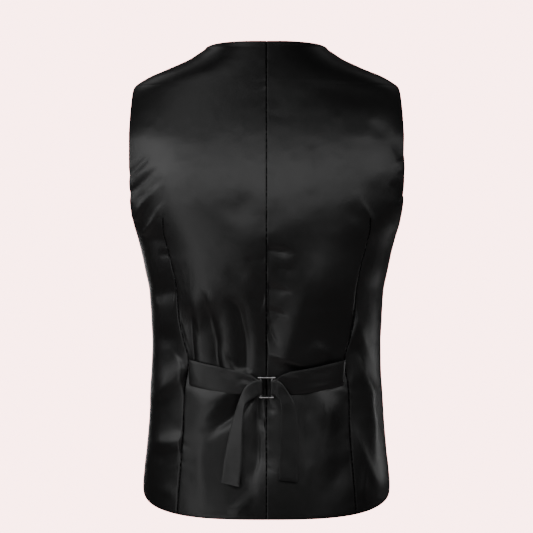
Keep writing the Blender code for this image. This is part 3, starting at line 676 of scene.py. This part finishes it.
def front_points(side):
    """The front's outer surface as a grid, from its closing edge to the side and hem to shoulder."""
    low = levels((FRONT_EDGE_HEM, V_BOTTOM, V_TURN, NECK_POINT), FRONT_ROWS)[:, None]
    high = levels((SIDE_HEM, UNDERARM, TIP_TURN, SHOULDER_TIP), FRONT_ROWS)[:, None]
    u = eased(FRONT_COLUMNS, FRONT_EASE)[None, :]
    v = np.linspace(0.0, 1.0, len(low))[:, None]
    seam_y = SHOULDER_SEAM_Y - SEAM_GAP / 2
    top = spread_of_y(seam_y, NECK_POINT, -1)
    closing = np.minimum(spread_of_x(along(FRONT_EDGE, "x", low), low), top)
    outer = spread_of_y(np.minimum(-section("front_edge", high), -SEAM_GAP / 2), high, -1)
    on_tip = high > SHOULDER_TIP - TOUCH
    outer = np.where(on_tip, spread_of_y(seam_y, high, -1), outer)
    height = mix(low, high, u)
    spread = mix(closing, outer, u)
    to_seam = np.clip((v - 1.0 + SHOULDER_SHARE) / SHOULDER_SHARE, 0.0, 1.0)
    spread = mix(spread, spread_of_y(seam_y, height, -1), to_seam)
    x = form(spread, height, -1)[..., 0]
    t = np.clip((x - FRONT_POINT_X) / (half_width(SIDE_HEM) - FRONT_POINT_X), 0.0, 1.0)
    inner_hem = mix(FRONT_POINT_Z, FRONT_EDGE_HEM, (FRONT_POINT_X - x) / (FRONT_POINT_X + LAP_HALF))
    outer_hem = mix(FRONT_POINT_Z, SIDE_HEM, t**FRONT_HEM_POWER)
    hem = np.where(x < FRONT_POINT_X, inner_hem, outer_hem)
    fade = np.maximum(1.0 - v / HEM_FADE, 0.0) ** 2
    height = height + fade * (hem - mix(FRONT_EDGE_HEM, SIDE_HEM, u))
    points = form(spread, height, -1)
    if side < 0:
        under = soft_step(-UNDERLAP_START, -UNDERLAP_END, -points[..., 0])
        points[..., 1] += UNDERLAP_DEPTH * under * (1.0 - soft_step(LAP_TOP, UNDERLAP_TOP, height))
    points[..., 0] *= side
    return points


def front_relief(points, side):
    """How far the front's cloth stands off the plain form; it lies flat along the closing edge."""
    x, z = points[..., 0], points[..., 2]
    lift = creased(points, FRONT_CREASES)
    calm = soft_step(FRONT_CALM_START, FRONT_CALM_END, np.abs(x))
    slack = FRONT_SLACK_RISE * drift(x, z * SLACK_SHARE_UP, FRONT_SLACK_PITCH, 8 + side)
    return lift * calm + slack * calm


EDGE_CURL = (0.40, 0.12)


def edge_curl(shape, on_seam):
    """How far the cloth turns in at a grid's open edges, as a share of its thickness."""
    curl = np.zeros(shape)
    for depth, share in enumerate(EDGE_CURL):
        edges = [curl[depth, :], curl[-1 - depth, :], curl[:, -1 - depth]]
        if not on_seam:
            edges.append(curl[:, depth])
        for edge in edges:
            np.maximum(edge, share, out=edge)
    return curl[..., None]


def length_along(points, axis):
    """The length of cloth from a grid's first row or column to each of its points."""
    steps = np.linalg.norm(np.diff(points, axis=axis), axis=-1)
    return np.insert(np.cumsum(steps, axis=axis), 0, 0.0, axis=axis)


def sheet_mesh(name, outer, inner):
    """A closed mesh between two grids of points, and the row and column of each of its vertices."""
    rows, columns = outer.shape[0] - 1, outer.shape[1] - 1
    bm = bmesh.new()
    bmesh.ops.create_grid(bm, x_segments=columns, y_segments=rows, size=0.5)
    count = len(bm.verts)
    bmesh.ops.extrude_face_region(bm, geom=list(bm.faces), use_keep_orig=True)
    bmesh.ops.recalc_face_normals(bm, faces=list(bm.faces))
    mesh = bpy.data.meshes.new(name)
    bm.to_mesh(mesh)
    bm.free()
    flat = np.empty(len(mesh.vertices) * 3)
    mesh.vertices.foreach_get("co", flat)
    column = np.rint((flat[0::3] + 0.5) * columns).astype(int)
    row = np.rint((flat[1::3] + 0.5) * rows).astype(int)
    spots = np.where((np.arange(len(row)) < count)[:, None], outer[row, column], inner[row, column])
    mesh.vertices.foreach_set("co", spots.ravel())
    return mesh, row, column


def add_object(name, data):
    thing = bpy.data.objects.new(name, data)
    bpy.context.scene.collection.objects.link(thing)
    return thing


def add_piece(name, mesh, material, sharp_angle):
    """A smooth piece with one material, whose edges stay sharp past this angle in degrees."""
    mesh.shade_smooth()
    mesh.set_sharp_from_angle(angle=math.radians(sharp_angle))
    mesh.materials.append(material)
    return add_object(name, mesh)


def cloth_piece(name, outer, turned, thickness, material, on_seam=False, middle=False, seam=None):
    """A closed piece of cloth whose outer face lies on a grid of points. Its open edges are rounded;
    on_seam tells that its first column meets the centre seam, where it stays square. middle puts the
    points half way through the cloth. seam gives each point's distance to a seam, and where it is
    given, the last column and the top count as seams too."""
    out = normals_of(outer) * (-1.0 if turned else 1.0)
    if on_seam:
        out[:, 0, 0] = 0.0
    out = out / np.linalg.norm(out, axis=-1, keepdims=True)
    if middle:
        outer = outer + out * thickness / 2
    curl = edge_curl(outer.shape[:2], on_seam) * thickness * out
    inner = outer - out * thickness + curl
    outer = outer - curl
    mesh, row, column = sheet_mesh(name, outer, inner)
    across = length_along(outer, 1)
    up = length_along(outer, 0)
    corner = np.empty(len(mesh.loops), dtype=np.int32)
    mesh.loops.foreach_get("vertex_index", corner)
    spot = np.stack([across[row, column], up[row, column]], axis=1)
    mesh.uv_layers.new(name="cloth").data.foreach_set("uv", spot[corner].ravel())
    gap = np.full(outer.shape[:2], FAR_FROM_SEAM)
    if seam is not None:
        edge = np.minimum(across[:, -1:] - across, up[-1:] - up)
        gap = np.minimum(np.minimum(seam, edge), gap)
    # The distance to a seam or an open edge, which sets where the satin's painted shade falls.
    mesh.attributes.new("seam_gap", "FLOAT", "POINT").data.foreach_set("value", gap[row, column])
    mesh.update()
    bm = bmesh.new()
    bm.from_mesh(mesh)
    bmesh.ops.recalc_face_normals(bm, faces=list(bm.faces))
    bm.to_mesh(mesh)
    bm.free()
    return add_piece(name, mesh, material, RIM_ANGLE)


def place(piece, node, slot):
    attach(piece, "root")
    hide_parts(node)


# ---- finishes ----


def link_all(tree, node, sources):
    for name, source in dict(sources).items():
        tree.links.new(source, node.inputs[name])


def node_in(tree, kind, settings=(), values=(), sources=()):
    """A node with these settings, these values on its inputs and these outputs linked to them."""
    node = tree.nodes.new(kind)
    for name, value in dict(settings).items():
        setattr(node, name, value)
    for name, value in dict(values).items():
        node.inputs[name].default_value = value
    link_all(tree, node, sources)
    return node


def finish(name, roughness, metallic=0.0, **constants):
    """A material whose shader has these constant values."""
    material = bpy.data.materials.new(name)
    material.use_nodes = True
    shader = material.node_tree.nodes["Principled BSDF"]
    shader.inputs["Roughness"].default_value = roughness
    shader.inputs["Metallic"].default_value = metallic
    for key, value in constants.items():
        shader.inputs[key.replace("_", " ")].default_value = value
    return material, material.node_tree, shader


def group_of(name, inputs, outputs):
    """An empty shader node group with number, colour and vector sockets."""
    tree = bpy.data.node_groups.new(name, "ShaderNodeTree")
    for label, kind, value in inputs:
        socket = tree.interface.new_socket(label, in_out="INPUT", socket_type=kind)
        if value is not None:
            socket.default_value = value
    for label, kind in outputs:
        tree.interface.new_socket(label, in_out="OUTPUT", socket_type=kind)
    return tree, tree.nodes.new("NodeGroupInput"), tree.nodes.new("NodeGroupOutput")


def noise(tree, vector, scale, detail, roughness=0.5):
    """The grey value of a noise over these coordinates."""
    values = {"Scale": scale, "Detail": detail, "Roughness": roughness}
    return node_in(tree, "ShaderNodeTexNoise", (), values, {"Vector": vector}).outputs["Fac"]


def spread_out(tree, value, low, high, to_low, to_high=1.0):
    """A value whose run from low to high is spread over another run and held past its ends."""
    values = {"From Min": low, "From Max": high, "To Min": to_low, "To Max": to_high}
    return node_in(tree, "ShaderNodeMapRange", (), values, {"Value": value}).outputs[0]


def multiplied(tree, first, second):
    return node_in(tree, "ShaderNodeMath", {"operation": "MULTIPLY"}, (), {0: first, 1: second}).outputs[0]


def times_plus(tree, first, factor, added):
    """The first output times a constant factor, plus the added output."""
    settings = {"operation": "MULTIPLY_ADD"}
    return node_in(tree, "ShaderNodeMath", settings, {1: factor}, {0: first, 2: added}).outputs[0]


def tinted(tree, colour, tone):
    sources = {0: colour, "Scale": tone}
    return node_in(tree, "ShaderNodeVectorMath", {"operation": "SCALE"}, (), sources).outputs[0]


def stretched(tree, vector, scale):
    settings = {"vector_type": "POINT"}
    return node_in(tree, "ShaderNodeMapping", settings, {"Scale": scale}, {"Vector": vector}).outputs[0]


FLOAT, COLOUR, VECTOR = "NodeSocketFloat", "NodeSocketColor", "NodeSocketVector"
NOISE_MIDDLE = (0.3, 0.7)
TONE_DRIFT = (0.8, 1.2)
YARN_FLECK = (0.6, 1.4)
# Painted shade along seams and edges: this metallic share on the near-black colour darkens the gloss, fully
# within the first distance of a seam or edge and not at all past the second.
PAINTED_SHADE_FULL = 0.0006
PAINTED_SHADE_END = 0.0013
PAINTED_SEAM_SHADE = 0.95
WEAVE_FLOATS = {
    "Scale": 1.0,
    "Brick Width": 0.0011,
    "Row Height": 0.00022,
    "Mortar Size": 0.00003,
    "Mortar Smooth": 1.0,
    "Color1": (1, 1, 1, 1),
    "Color2": (0.8, 0.8, 0.8, 1),
    "Mortar": (0, 0, 0, 1),
}
TWILL_LINES = {"Scale": 560.0, "Distortion": 0.8}


def satin_group():
    """Satin: long floats in a fine weave, a slow drift of tone, small streaks in the gloss, and painted
    shade: an uneven dark line along the seams and edges, where shade falls in the grooves and turns."""
    tree, given, out = group_of(
        "satin weave",
        [("Cloth", VECTOR, None), ("Colour", COLOUR, (0.01, 0.01, 0.01, 1)), ("Gloss", FLOAT, 0.4),
         ("Relief", FLOAT, 0.3), ("Seam Gap", FLOAT, 0.05)],
        [("Colour", COLOUR), ("Roughness", FLOAT), ("Height", FLOAT), ("Shade", FLOAT)],
    )
    cloth = given.outputs["Cloth"]
    laid = {"offset": 0.4, "offset_frequency": 2}
    floats = node_in(tree, "ShaderNodeTexBrick", laid, WEAVE_FLOATS, {"Vector": cloth})
    tone = spread_out(tree, noise(tree, cloth, 22.0, 3.0, 0.55), *NOISE_MIDDLE, *TONE_DRIFT)
    streaks = noise(tree, stretched(tree, cloth, (60.0, 900.0, 1.0)), 1.0, 2.0)
    # painted shade: dark where the cloth lies near a seam or an open edge, broken up unevenly below
    painted_seam_shade = spread_out(tree, given.outputs["Seam Gap"], PAINTED_SHADE_FULL, PAINTED_SHADE_END, PAINTED_SEAM_SHADE, 0.0)
    broken = spread_out(tree, noise(tree, cloth, 260.0, 1.0), 0.35, 0.55, 0.3)
    link_all(tree, out, {
        "Colour": tinted(tree, given.outputs["Colour"], tone),
        "Roughness": times_plus(tree, streaks, 0.10, given.outputs["Gloss"]),
        "Height": multiplied(tree, floats.outputs["Color"], given.outputs["Relief"]),
        "Shade": multiplied(tree, painted_seam_shade, broken),
    })
    return tree


def twill_group():
    """Suiting: fine diagonal twill lines, flecks of yarn and a slow drift of tone."""
    tree, given, out = group_of(
        "twill weave",
        [("Cloth", VECTOR, None), ("Colour", COLOUR, (0.01, 0.01, 0.01, 1)), ("Gloss", FLOAT, 0.6)],
        [("Colour", COLOUR), ("Roughness", FLOAT), ("Height", FLOAT)],
    )
    cloth = given.outputs["Cloth"]
    laid = {"bands_direction": "DIAGONAL"}
    lines = node_in(tree, "ShaderNodeTexWave", laid, TWILL_LINES, {"Vector": cloth})
    yarn = noise(tree, cloth, 1500.0, 2.0)
    fleck = spread_out(tree, yarn, *NOISE_MIDDLE, *YARN_FLECK)
    tone = spread_out(tree, noise(tree, cloth, 18.0, 3.0), *NOISE_MIDDLE, *TONE_DRIFT)
    link_all(tree, out, {
        "Colour": tinted(tree, given.outputs["Colour"], multiplied(tree, fleck, tone)),
        "Roughness": times_plus(tree, yarn, 0.16, given.outputs["Gloss"]),
        "Height": times_plus(tree, yarn, 0.35, lines.outputs["Fac"]),
    })
    return tree


def cloth_finish(name, weave, colour, gloss, strength, distance, **constants):
    """A cloth's material, with its weave's colour and gloss and with the weave's relief as a bump."""
    material, tree, shader = finish(name, gloss, IOR=1.5, **constants)
    cloth = node_in(tree, "ShaderNodeUVMap", {"uv_map": "cloth"}).outputs[0]
    values = {"Colour": colour, "Gloss": gloss}
    surface = node_in(tree, "ShaderNodeGroup", {"node_tree": weave}, values, {"Cloth": cloth})
    relief = {"Strength": strength, "Distance": distance}
    bump = node_in(tree, "ShaderNodeBump", (), relief, {"Height": surface.outputs["Height"]})
    link_all(tree, shader, {
        "Base Color": surface.outputs["Colour"],
        "Roughness": surface.outputs["Roughness"],
        "Normal": bump.outputs[0],
    })
    return material, tree, shader, surface


def satin(name, weave, colour, gloss):
    """A satin whose gloss runs along the cloth, with painted shade along its seams and edges."""
    shine = {"Specular_IOR_Level": 0.6, "Anisotropic": 0.2}
    material, tree, shader, surface = cloth_finish(name, weave, colour, gloss, 0.25, 0.0001, **shine)
    grain = node_in(tree, "ShaderNodeTangent", {"direction_type": "UV_MAP", "uv_map": "cloth"})
    seam = node_in(tree, "ShaderNodeAttribute", {"attribute_name": "seam_gap"})
    link_all(tree, surface, {"Seam Gap": seam.outputs["Fac"]})
    # The painted shade turns the gloss metallic on the near-black colour, so the seams and edges go dark.
    link_all(tree, shader, {"Tangent": grain.outputs[0], "Metallic": surface.outputs["Shade"]})
    return material


def suiting(name, weave, colour, gloss):
    return cloth_finish(name, weave, colour, gloss, 0.45, 0.00015, Specular_IOR_Level=0.35)[0]


def polished(name, tones, gloss, rubbed_gloss, fine, **constants):
    """A hard finish whose tone and gloss drift, with hairline marks in the gloss."""
    material, tree, shader = finish(name, gloss, **constants)
    spots = node_in(tree, "ShaderNodeTexCoord").outputs["Object"]
    ramp = node_in(tree, "ShaderNodeValToRGB", (), (), {"Fac": noise(tree, spots, fine * 0.2, 3.0)})
    for stop, position, tone in zip(ramp.color_ramp.elements, (0.35, 0.65), tones):
        stop.position = position
        stop.color = tone
    marks = noise(tree, stretched(tree, spots, (0.15, 1.0, 1.0)), fine, 4.0)
    relief = {"Strength": 0.12, "Distance": 0.00005}
    bump = node_in(tree, "ShaderNodeBump", (), relief, {"Height": marks})
    link_all(tree, shader, {
        "Base Color": ramp.outputs["Color"],
        "Roughness": spread_out(tree, marks, 0.35, 0.7, gloss, rubbed_gloss),
        "Normal": bump.outputs[0],
    })
    return material


SATIN_WEAVE = satin_group()
TWILL_WEAVE = twill_group()
BACK_SATIN = satin("back_satin", SATIN_WEAVE, (0.0036, 0.0036, 0.0038, 1.0), 0.33)
STRAP_SATIN = satin("strap_satin", SATIN_WEAVE, (0.005, 0.005, 0.0053, 1.0), 0.36)
SUITING = suiting("front_suiting", TWILL_WEAVE, (0.014, 0.014, 0.0152, 1.0), 0.60)
THREAD = suiting("black_thread", TWILL_WEAVE, (0.010, 0.010, 0.011, 1.0), 0.50)
NICKEL_TONES = (0.70, 0.70, 0.71, 1.0), (0.82, 0.82, 0.83, 1.0)
RESIN_TONES = (0.008, 0.008, 0.009, 1.0), (0.017, 0.016, 0.017, 1.0)
NICKEL = polished("buckle_nickel", NICKEL_TONES, 0.10, 0.24, 2600.0, metallic=1.0)
RESIN = polished("button_resin", RESIN_TONES, 0.22, 0.36, 1400.0, Coat_Weight=0.3)

# ---- the two backs and the two fronts ----

for side, node in ((1, "back_left"), (-1, "back_right")):
    plain = back_points(side)
    lift = back_relief(plain, side)
    shaped = plain - side * normals_of(plain) * lift[..., None]
    shaped[:, 0, 0] = -side * SEAM_PRESS
    gaps = seam_distance(plain)
    piece = cloth_piece(node + "_satin", shaped, side > 0, BACK_CLOTH, BACK_SATIN, True, seam=gaps)
    place(piece, node, "back_satin")

for side, node in ((1, "front_left"), (-1, "front_right")):
    plain = front_points(side)
    shaped = plain + side * normals_of(plain) * front_relief(plain, side)[..., None]
    piece = cloth_piece(node + "_suiting", shaped, side < 0, FRONT_CLOTH, SUITING)
    place(piece, node, "front_suiting")

# ---- the belt ----


def buckle_plane(z):
    """How far back the buckle's wires lie at this height."""
    top = over_back(0.0, BUCKLE_TOP, BUCKLE_LIFT)[1]
    bottom = over_back(0.0, BUCKLE_BOTTOM, BUCKLE_LIFT)[1]
    return mix(top, bottom, (z - BUCKLE_TOP) / (BUCKLE_BOTTOM - BUCKLE_TOP))


def smooth_run(points, count):
    """count + 1 points along a smooth curve through the points."""
    points = np.array(points, dtype=float)
    at = np.linspace(0.0, len(points) - 1.0, count + 1)
    i = np.minimum(at.astype(int), len(points) - 2)
    t = (at - i)[:, None]
    padded = np.concatenate([[2 * points[0] - points[1]], points, [2 * points[-1] - points[-2]]])
    before, a, b, after = padded[i], padded[i + 1], padded[i + 2], padded[i + 3]
    ends = a * (2 * t**3 - 3 * t**2 + 1) + b * (3 * t**2 - 2 * t**3)
    return ends + (b - before) / 2 * (t**3 - 2 * t**2 + t) + (after - a) / 2 * (t**3 - t**2)


BELT_STEPS = 72
LOOP_STEPS = 20
TAIL_STEPS = 80
STRAP_STEPS = 20
BELT_FADE_STEPS = 6
TAIL_START_STEPS = 2
TAIL_FADE_STEPS = 8


def run_over_back(side, marks, count):
    """A smooth run through places of the back, each given by its x, its height and its lift."""
    return smooth_run([over_back(side * x, z, lift) for x, z, lift in marks], count)


def strap_points(side, tail):
    """The middle of the strap as a grid: from the dart, round the rail and down to the tail's end."""
    lean = STRAP_LEAN[side]
    upper = run_over_back(side, [(mark.x, mark.upper_z, mark.lift + lean) for mark in BELT], BELT_STEPS)
    lower = run_over_back(side, [(mark.x, mark.lower_z, mark.lift) for mark in BELT], BELT_STEPS)
    angle = np.linspace(0.0, math.pi, LOOP_STEPS + 1)
    turn = np.stack([-side * np.sin(angle), -np.cos(angle), 0.0 * angle], axis=-1) * LOOP_REACH
    top, bottom = BUCKLE_TOP - UPPER_ROOM, BUCKLE_BOTTOM + LOWER_ROOM
    loop_upper = np.array([side * RAIL_X, buckle_plane(top), top]) + turn
    loop_lower = np.array([side * RAIL_X, buckle_plane(bottom), bottom]) + turn
    outer = run_over_back(side, [(m.outer_x, m.outer_z, m.outer_lift) for m in tail], TAIL_STEPS)
    inner = run_over_back(side, [(m.inner_x, m.inner_z, m.inner_lift) for m in tail], TAIL_STEPS)
    first = np.concatenate([upper, loop_upper, outer])
    second = np.concatenate([lower, loop_lower, inner])
    t = np.linspace(0.0, 1.0, STRAP_STEPS + 1)[None, :, None]
    return mix(first[:, None], second[:, None], t)


for side, node, tail in ((1, "strap_left", LEFT_TAIL), (-1, "strap_right", RIGHT_TAIL)):
    middle = strap_points(side, tail)
    across = np.linspace(-1.0, 1.0, STRAP_STEPS + 1)[None, :]
    rows = np.arange(len(middle))[:, None]
    on_belt = 1.0 - soft_step(BELT_STEPS - BELT_FADE_STEPS, BELT_STEPS, rows)
    tail_start = BELT_STEPS + LOOP_STEPS + TAIL_START_STEPS
    on_tail = soft_step(tail_start, tail_start + TAIL_FADE_STEPS, rows)
    lift = on_belt * (creased(middle, STRAP_CREASES) + STRAP_CROWN * (1.0 - across**2))
    slack = drift(middle[..., 0], middle[..., 2], FINE_SLACK_PITCH, 40 + side)
    lift = lift + on_tail * TAIL_SLACK_RISE * slack
    out = normals_of(middle)
    turned = out[BELT_STEPS // 2, STRAP_STEPS // 2, 1] < 0
    shaped = middle + out * lift[..., None] * (-1.0 if turned else 1.0)
    piece = cloth_piece(node + "_ribbon", shaped, turned, STRAP_CLOTH, STRAP_SATIN, middle=True)
    place(piece, node, "strap_satin")


def wire_mesh(bm, path, radius, sides=14):
    """Adds a round wire along a path, with closed ends."""
    path = [Vector(point) for point in path]
    ring = None
    for k, point in enumerate(path):
        run = path[min(k + 1, len(path) - 1)] - path[max(k - 1, 0)]
        turn = Matrix.Translation(point) @ run.to_track_quat("Z", "Y").to_matrix().to_4x4()
        at_end = k in (0, len(path) - 1)
        circle = bmesh.ops.create_circle(bm, cap_ends=at_end, segments=sides, radius=radius, matrix=turn)
        made = circle["verts"]
        around = {edge for vert in made for edge in vert.link_edges}
        edges = [edge for edge in around if edge.verts[0] in made and edge.verts[1] in made]
        if ring:
            bmesh.ops.bridge_loops(bm, edges=ring + edges)
        ring = edges


def mesh_piece(name, bm, material):
    mesh = bpy.data.meshes.new(name)
    bmesh.ops.recalc_face_normals(bm, faces=list(bm.faces))
    bm.to_mesh(mesh)
    bm.free()
    return add_piece(name, mesh, material, SMALL_EDGE_ANGLE)


def on_buckle(x, z):
    return Vector((x, buckle_plane(z), z))


BAR_SHARES = (-1, -0.5, 0, 0.5, 1)
bm = bmesh.new()
top_bar = [on_buckle(share * TOP_BAR_HALF, BUCKLE_TOP) for share in BAR_SHARES]
bottom_bar = [on_buckle(share * BOTTOM_BAR_HALF, BUCKLE_BOTTOM) for share in BAR_SHARES]
wire_mesh(bm, top_bar, WIRE_RADIUS)
wire_mesh(bm, bottom_bar, BOTTOM_WIRE_RADIUS)
for side in (-1, 1):
    bow = []
    for t in np.linspace(0.0, 1.0, 9):
        x = side * (RAIL_X - BOW_DEPTH * math.sin(math.pi * t))
        bow.append(on_buckle(x, mix(BUCKLE_TOP, BUCKLE_BOTTOM, t)))
    wire_mesh(bm, bow, BOW_WIRE_RADIUS)
    collar = [on_buckle(side * (COLLAR_X + step), BUCKLE_TOP) for step in (-COLLAR_HALF, COLLAR_HALF)]
    wire_mesh(bm, collar, COLLAR_RADIUS)
buckle = mesh_piece("buckle_wire", bm, NICKEL)
place(buckle, "buckle", "buckle_metal")

# ---- buttons ----


def button_spot(index):
    """Where a button's own flat frame lies on the closing edge."""
    z = BUTTON_TOP - BUTTON_PITCH * index
    here = form(0.0, z, -1)
    up = form(0.0, z + 1e-3, -1) - form(0.0, z - 1e-3, -1)
    out = Vector((1.0, 0.0, 0.0)).cross(Vector(up)).normalized()
    turn = out.to_track_quat("Z", "Y").to_matrix().to_4x4()
    return Matrix.Translation(Vector(here) + out * BUTTON_CLEARANCE) @ turn


def button(index):
    """A turned button with a raised rim and a dish for its thread."""
    bm = bmesh.new()
    ring = [bm.verts.new((mark.radius, 0.0, mark.height)) for mark in BUTTON_PROFILE]
    for a, b in zip(ring, ring[1:]):
        bm.edges.new((a, b))
    bmesh.ops.spin(bm, geom=list(bm.verts) + list(bm.edges), axis=(0, 0, 1), cent=(0, 0, 0),
                   angle=2 * math.pi, steps=BUTTON_SIDES, use_merge=True)
    bmesh.ops.remove_doubles(bm, verts=list(bm.verts), dist=1e-6)
    bmesh.ops.transform(bm, matrix=button_spot(index), verts=list(bm.verts))
    piece = mesh_piece(f"button_{index + 1}_resin", bm, RESIN)
    place(piece, f"button_{index + 1}", "button_resin")


def sewn_wires(name, paths, radius):
    bm = bmesh.new()
    for path in paths:
        wire_mesh(bm, path, radius, 8)
    piece = mesh_piece(name, bm, THREAD)
    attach(piece, "root")


def thread_paths(index):
    """Two stitches of thread that rise and sink again across a button's dish."""
    spot = button_spot(index)
    paths = []
    for y in (-HOLE_REACH, HOLE_REACH):
        steps = [(math.cos(angle), math.sin(angle)) for angle in np.linspace(0.0, math.pi, 9)]
        heights = [DISH_HEIGHT - THREAD_SINK + rise * THREAD_RISE for x, rise in steps]
        paths.append([spot @ Vector((x * HOLE_REACH, y, z)) for (x, rise), z in zip(steps, heights)])
    return paths


def buttonhole_path(index):
    """The worked edge of a buttonhole, from under its button towards the closing edge."""
    z = BUTTON_TOP - BUTTON_PITCH * index
    path = []
    for angle in np.linspace(0.0, 2 * math.pi, 41):
        x = BUTTONHOLE_MIDDLE + BUTTONHOLE_HALF * np.clip(BUTTONHOLE_SQUARENESS * math.cos(angle), -1.0, 1.0)
        point = form(spread_of_x(x, z), z + BUTTONHOLE_SPREAD * math.sin(angle), -1)
        path.append(Vector(point) + Vector((0.0, -STITCH_LIFT, 0.0)))
    return path


for index in range(BUTTON_COUNT):
    button(index)
    sewn_wires(f"button_{index + 1}_thread", thread_paths(index), THREAD_RADIUS)
holes = [buttonhole_path(index) for index in range(BUTTON_COUNT)]
sewn_wires("buttonhole_stitches", holes, BUTTONHOLE_STITCH)

# ---- camera, light and floor ----

camera = bpy.data.cameras.new("camera")
camera.sensor_width = SENSOR
camera.lens = SENSOR * VIEW_DISTANCE / (PLAN_SIZE * PLAN_UNIT)
view = add_object("camera", camera)
view.location = (0.0, VIEW_DISTANCE, VIEW_HEIGHT)
view.rotation_euler = Vector((0.0, -1.0, 0.0)).to_track_quat("-Z", "Y").to_euler()
bpy.context.scene.camera = view


def softbox(name, place, aim, size, power):
    lamp = bpy.data.lights.new(name, "AREA")
    lamp.shape = "RECTANGLE"
    lamp.size, lamp.size_y = size
    lamp.energy = power
    light = add_object(name, lamp)
    light.location = place
    light.rotation_euler = (Vector(aim) - Vector(place)).to_track_quat("-Z", "Y").to_euler()
    light.visible_camera = False


MIDDLE = (0.0, 0.0, -0.28)
CHEST = (0.0, 0.0, -0.14)
softbox("strip_middle", (0.0, 1.15, 0.115), CHEST, (1.6, 0.27), 3.6)
softbox("strip_left", (1.0, 0.75, 0.105), CHEST, (0.7, 0.27), 2.2)
softbox("strip_right", (-1.0, 0.75, 0.105), CHEST, (0.7, 0.27), 1.4)
softbox("tall_left", (1.30, 1.25, -0.42), MIDDLE, (0.25, 0.90), 1.8)
softbox("low_middle", (0.85, 1.50, -0.80), MIDDLE, (0.7, 0.30), 1.5)
softbox("low_right", (-0.90, 1.50, -0.45), MIDDLE, (0.6, 0.30), 0.35)
softbox("upper_left", (1.3, 1.9, 2.2), MIDDLE, (1.6, 2.0), 8.0)
softbox("top_left", (1.0, -0.7, 1.1), (0.1, 0.0, -0.02), (0.9, 0.6), 1.1)
softbox("top_right", (-1.0, -0.7, 1.1), (-0.1, 0.0, -0.02), (0.9, 0.6), 0.4)
softbox("side_left", (0.90, -0.10, -0.16), MIDDLE, (0.12, 0.30), 0.34)
softbox("side_right", (-0.50, -0.15, -0.48), (-0.16, 0.03, -0.47), (0.08, 0.18), 0.13)
softbox("front", (0.4, -2.2, -0.1), MIDDLE, (1.6, 1.2), 12.0)
softbox("panel_left", (1.1, 0.30, -0.08), MIDDLE, (0.25, 0.25), 0.55)
softbox("panel_right", (-1.1, 0.30, -0.08), MIDDLE, (0.25, 0.25), 0.30)

FLOOR_RADIUS = 5.5
FLOOR_HEIGHT = -1.45


def for_camera(tree, lighting, seen):
    """A shader that lights the scene in one way and is seen by the camera in another."""
    ray = node_in(tree, "ShaderNodeLightPath").outputs["Is Camera Ray"]
    return node_in(tree, "ShaderNodeMixShader", (), (), {0: ray, 1: lighting, 2: seen}).outputs[0]


bm = bmesh.new()
bmesh.ops.create_circle(bm, cap_ends=True, segments=96, radius=FLOOR_RADIUS)
floor_mesh = bpy.data.meshes.new("floor")
bm.to_mesh(floor_mesh)
bm.free()
floor = add_object("floor", floor_mesh)
floor_mesh.transform(Matrix.Translation((0.0, 0.0, FLOOR_HEIGHT)))
pale, tree, shader = finish("pale_floor", 0.8, Base_Color=(0.90, 0.83, 0.82, 1.0))
glow = node_in(tree, "ShaderNodeEmission", (), {"Color": (1.0, 0.80, 0.78, 1.0), "Strength": 1.6})
both = node_in(tree, "ShaderNodeAddShader", (), (), {0: shader.outputs[0], 1: glow.outputs[0]})
mixed = for_camera(tree, shader.outputs[0], both.outputs[0])
link_all(tree, tree.nodes["Material Output"], {"Surface": mixed})
floor_mesh.materials.append(pale)

world = bpy.data.worlds.new("studio")
bpy.context.scene.world = world
world.use_nodes = True
tree = world.node_tree
tree.nodes.clear()
sky = node_in(tree, "ShaderNodeBackground", (), {"Color": (1.0, 0.60, 0.58, 1.0), "Strength": 8.0})
room = node_in(tree, "ShaderNodeBackground", (), {"Color": (0.30, 0.29, 0.29, 1.0), "Strength": 0.12})
mixed = for_camera(tree, room.outputs[0], sky.outputs[0])
node_in(tree, "ShaderNodeOutputWorld", (), (), {"Surface": mixed})
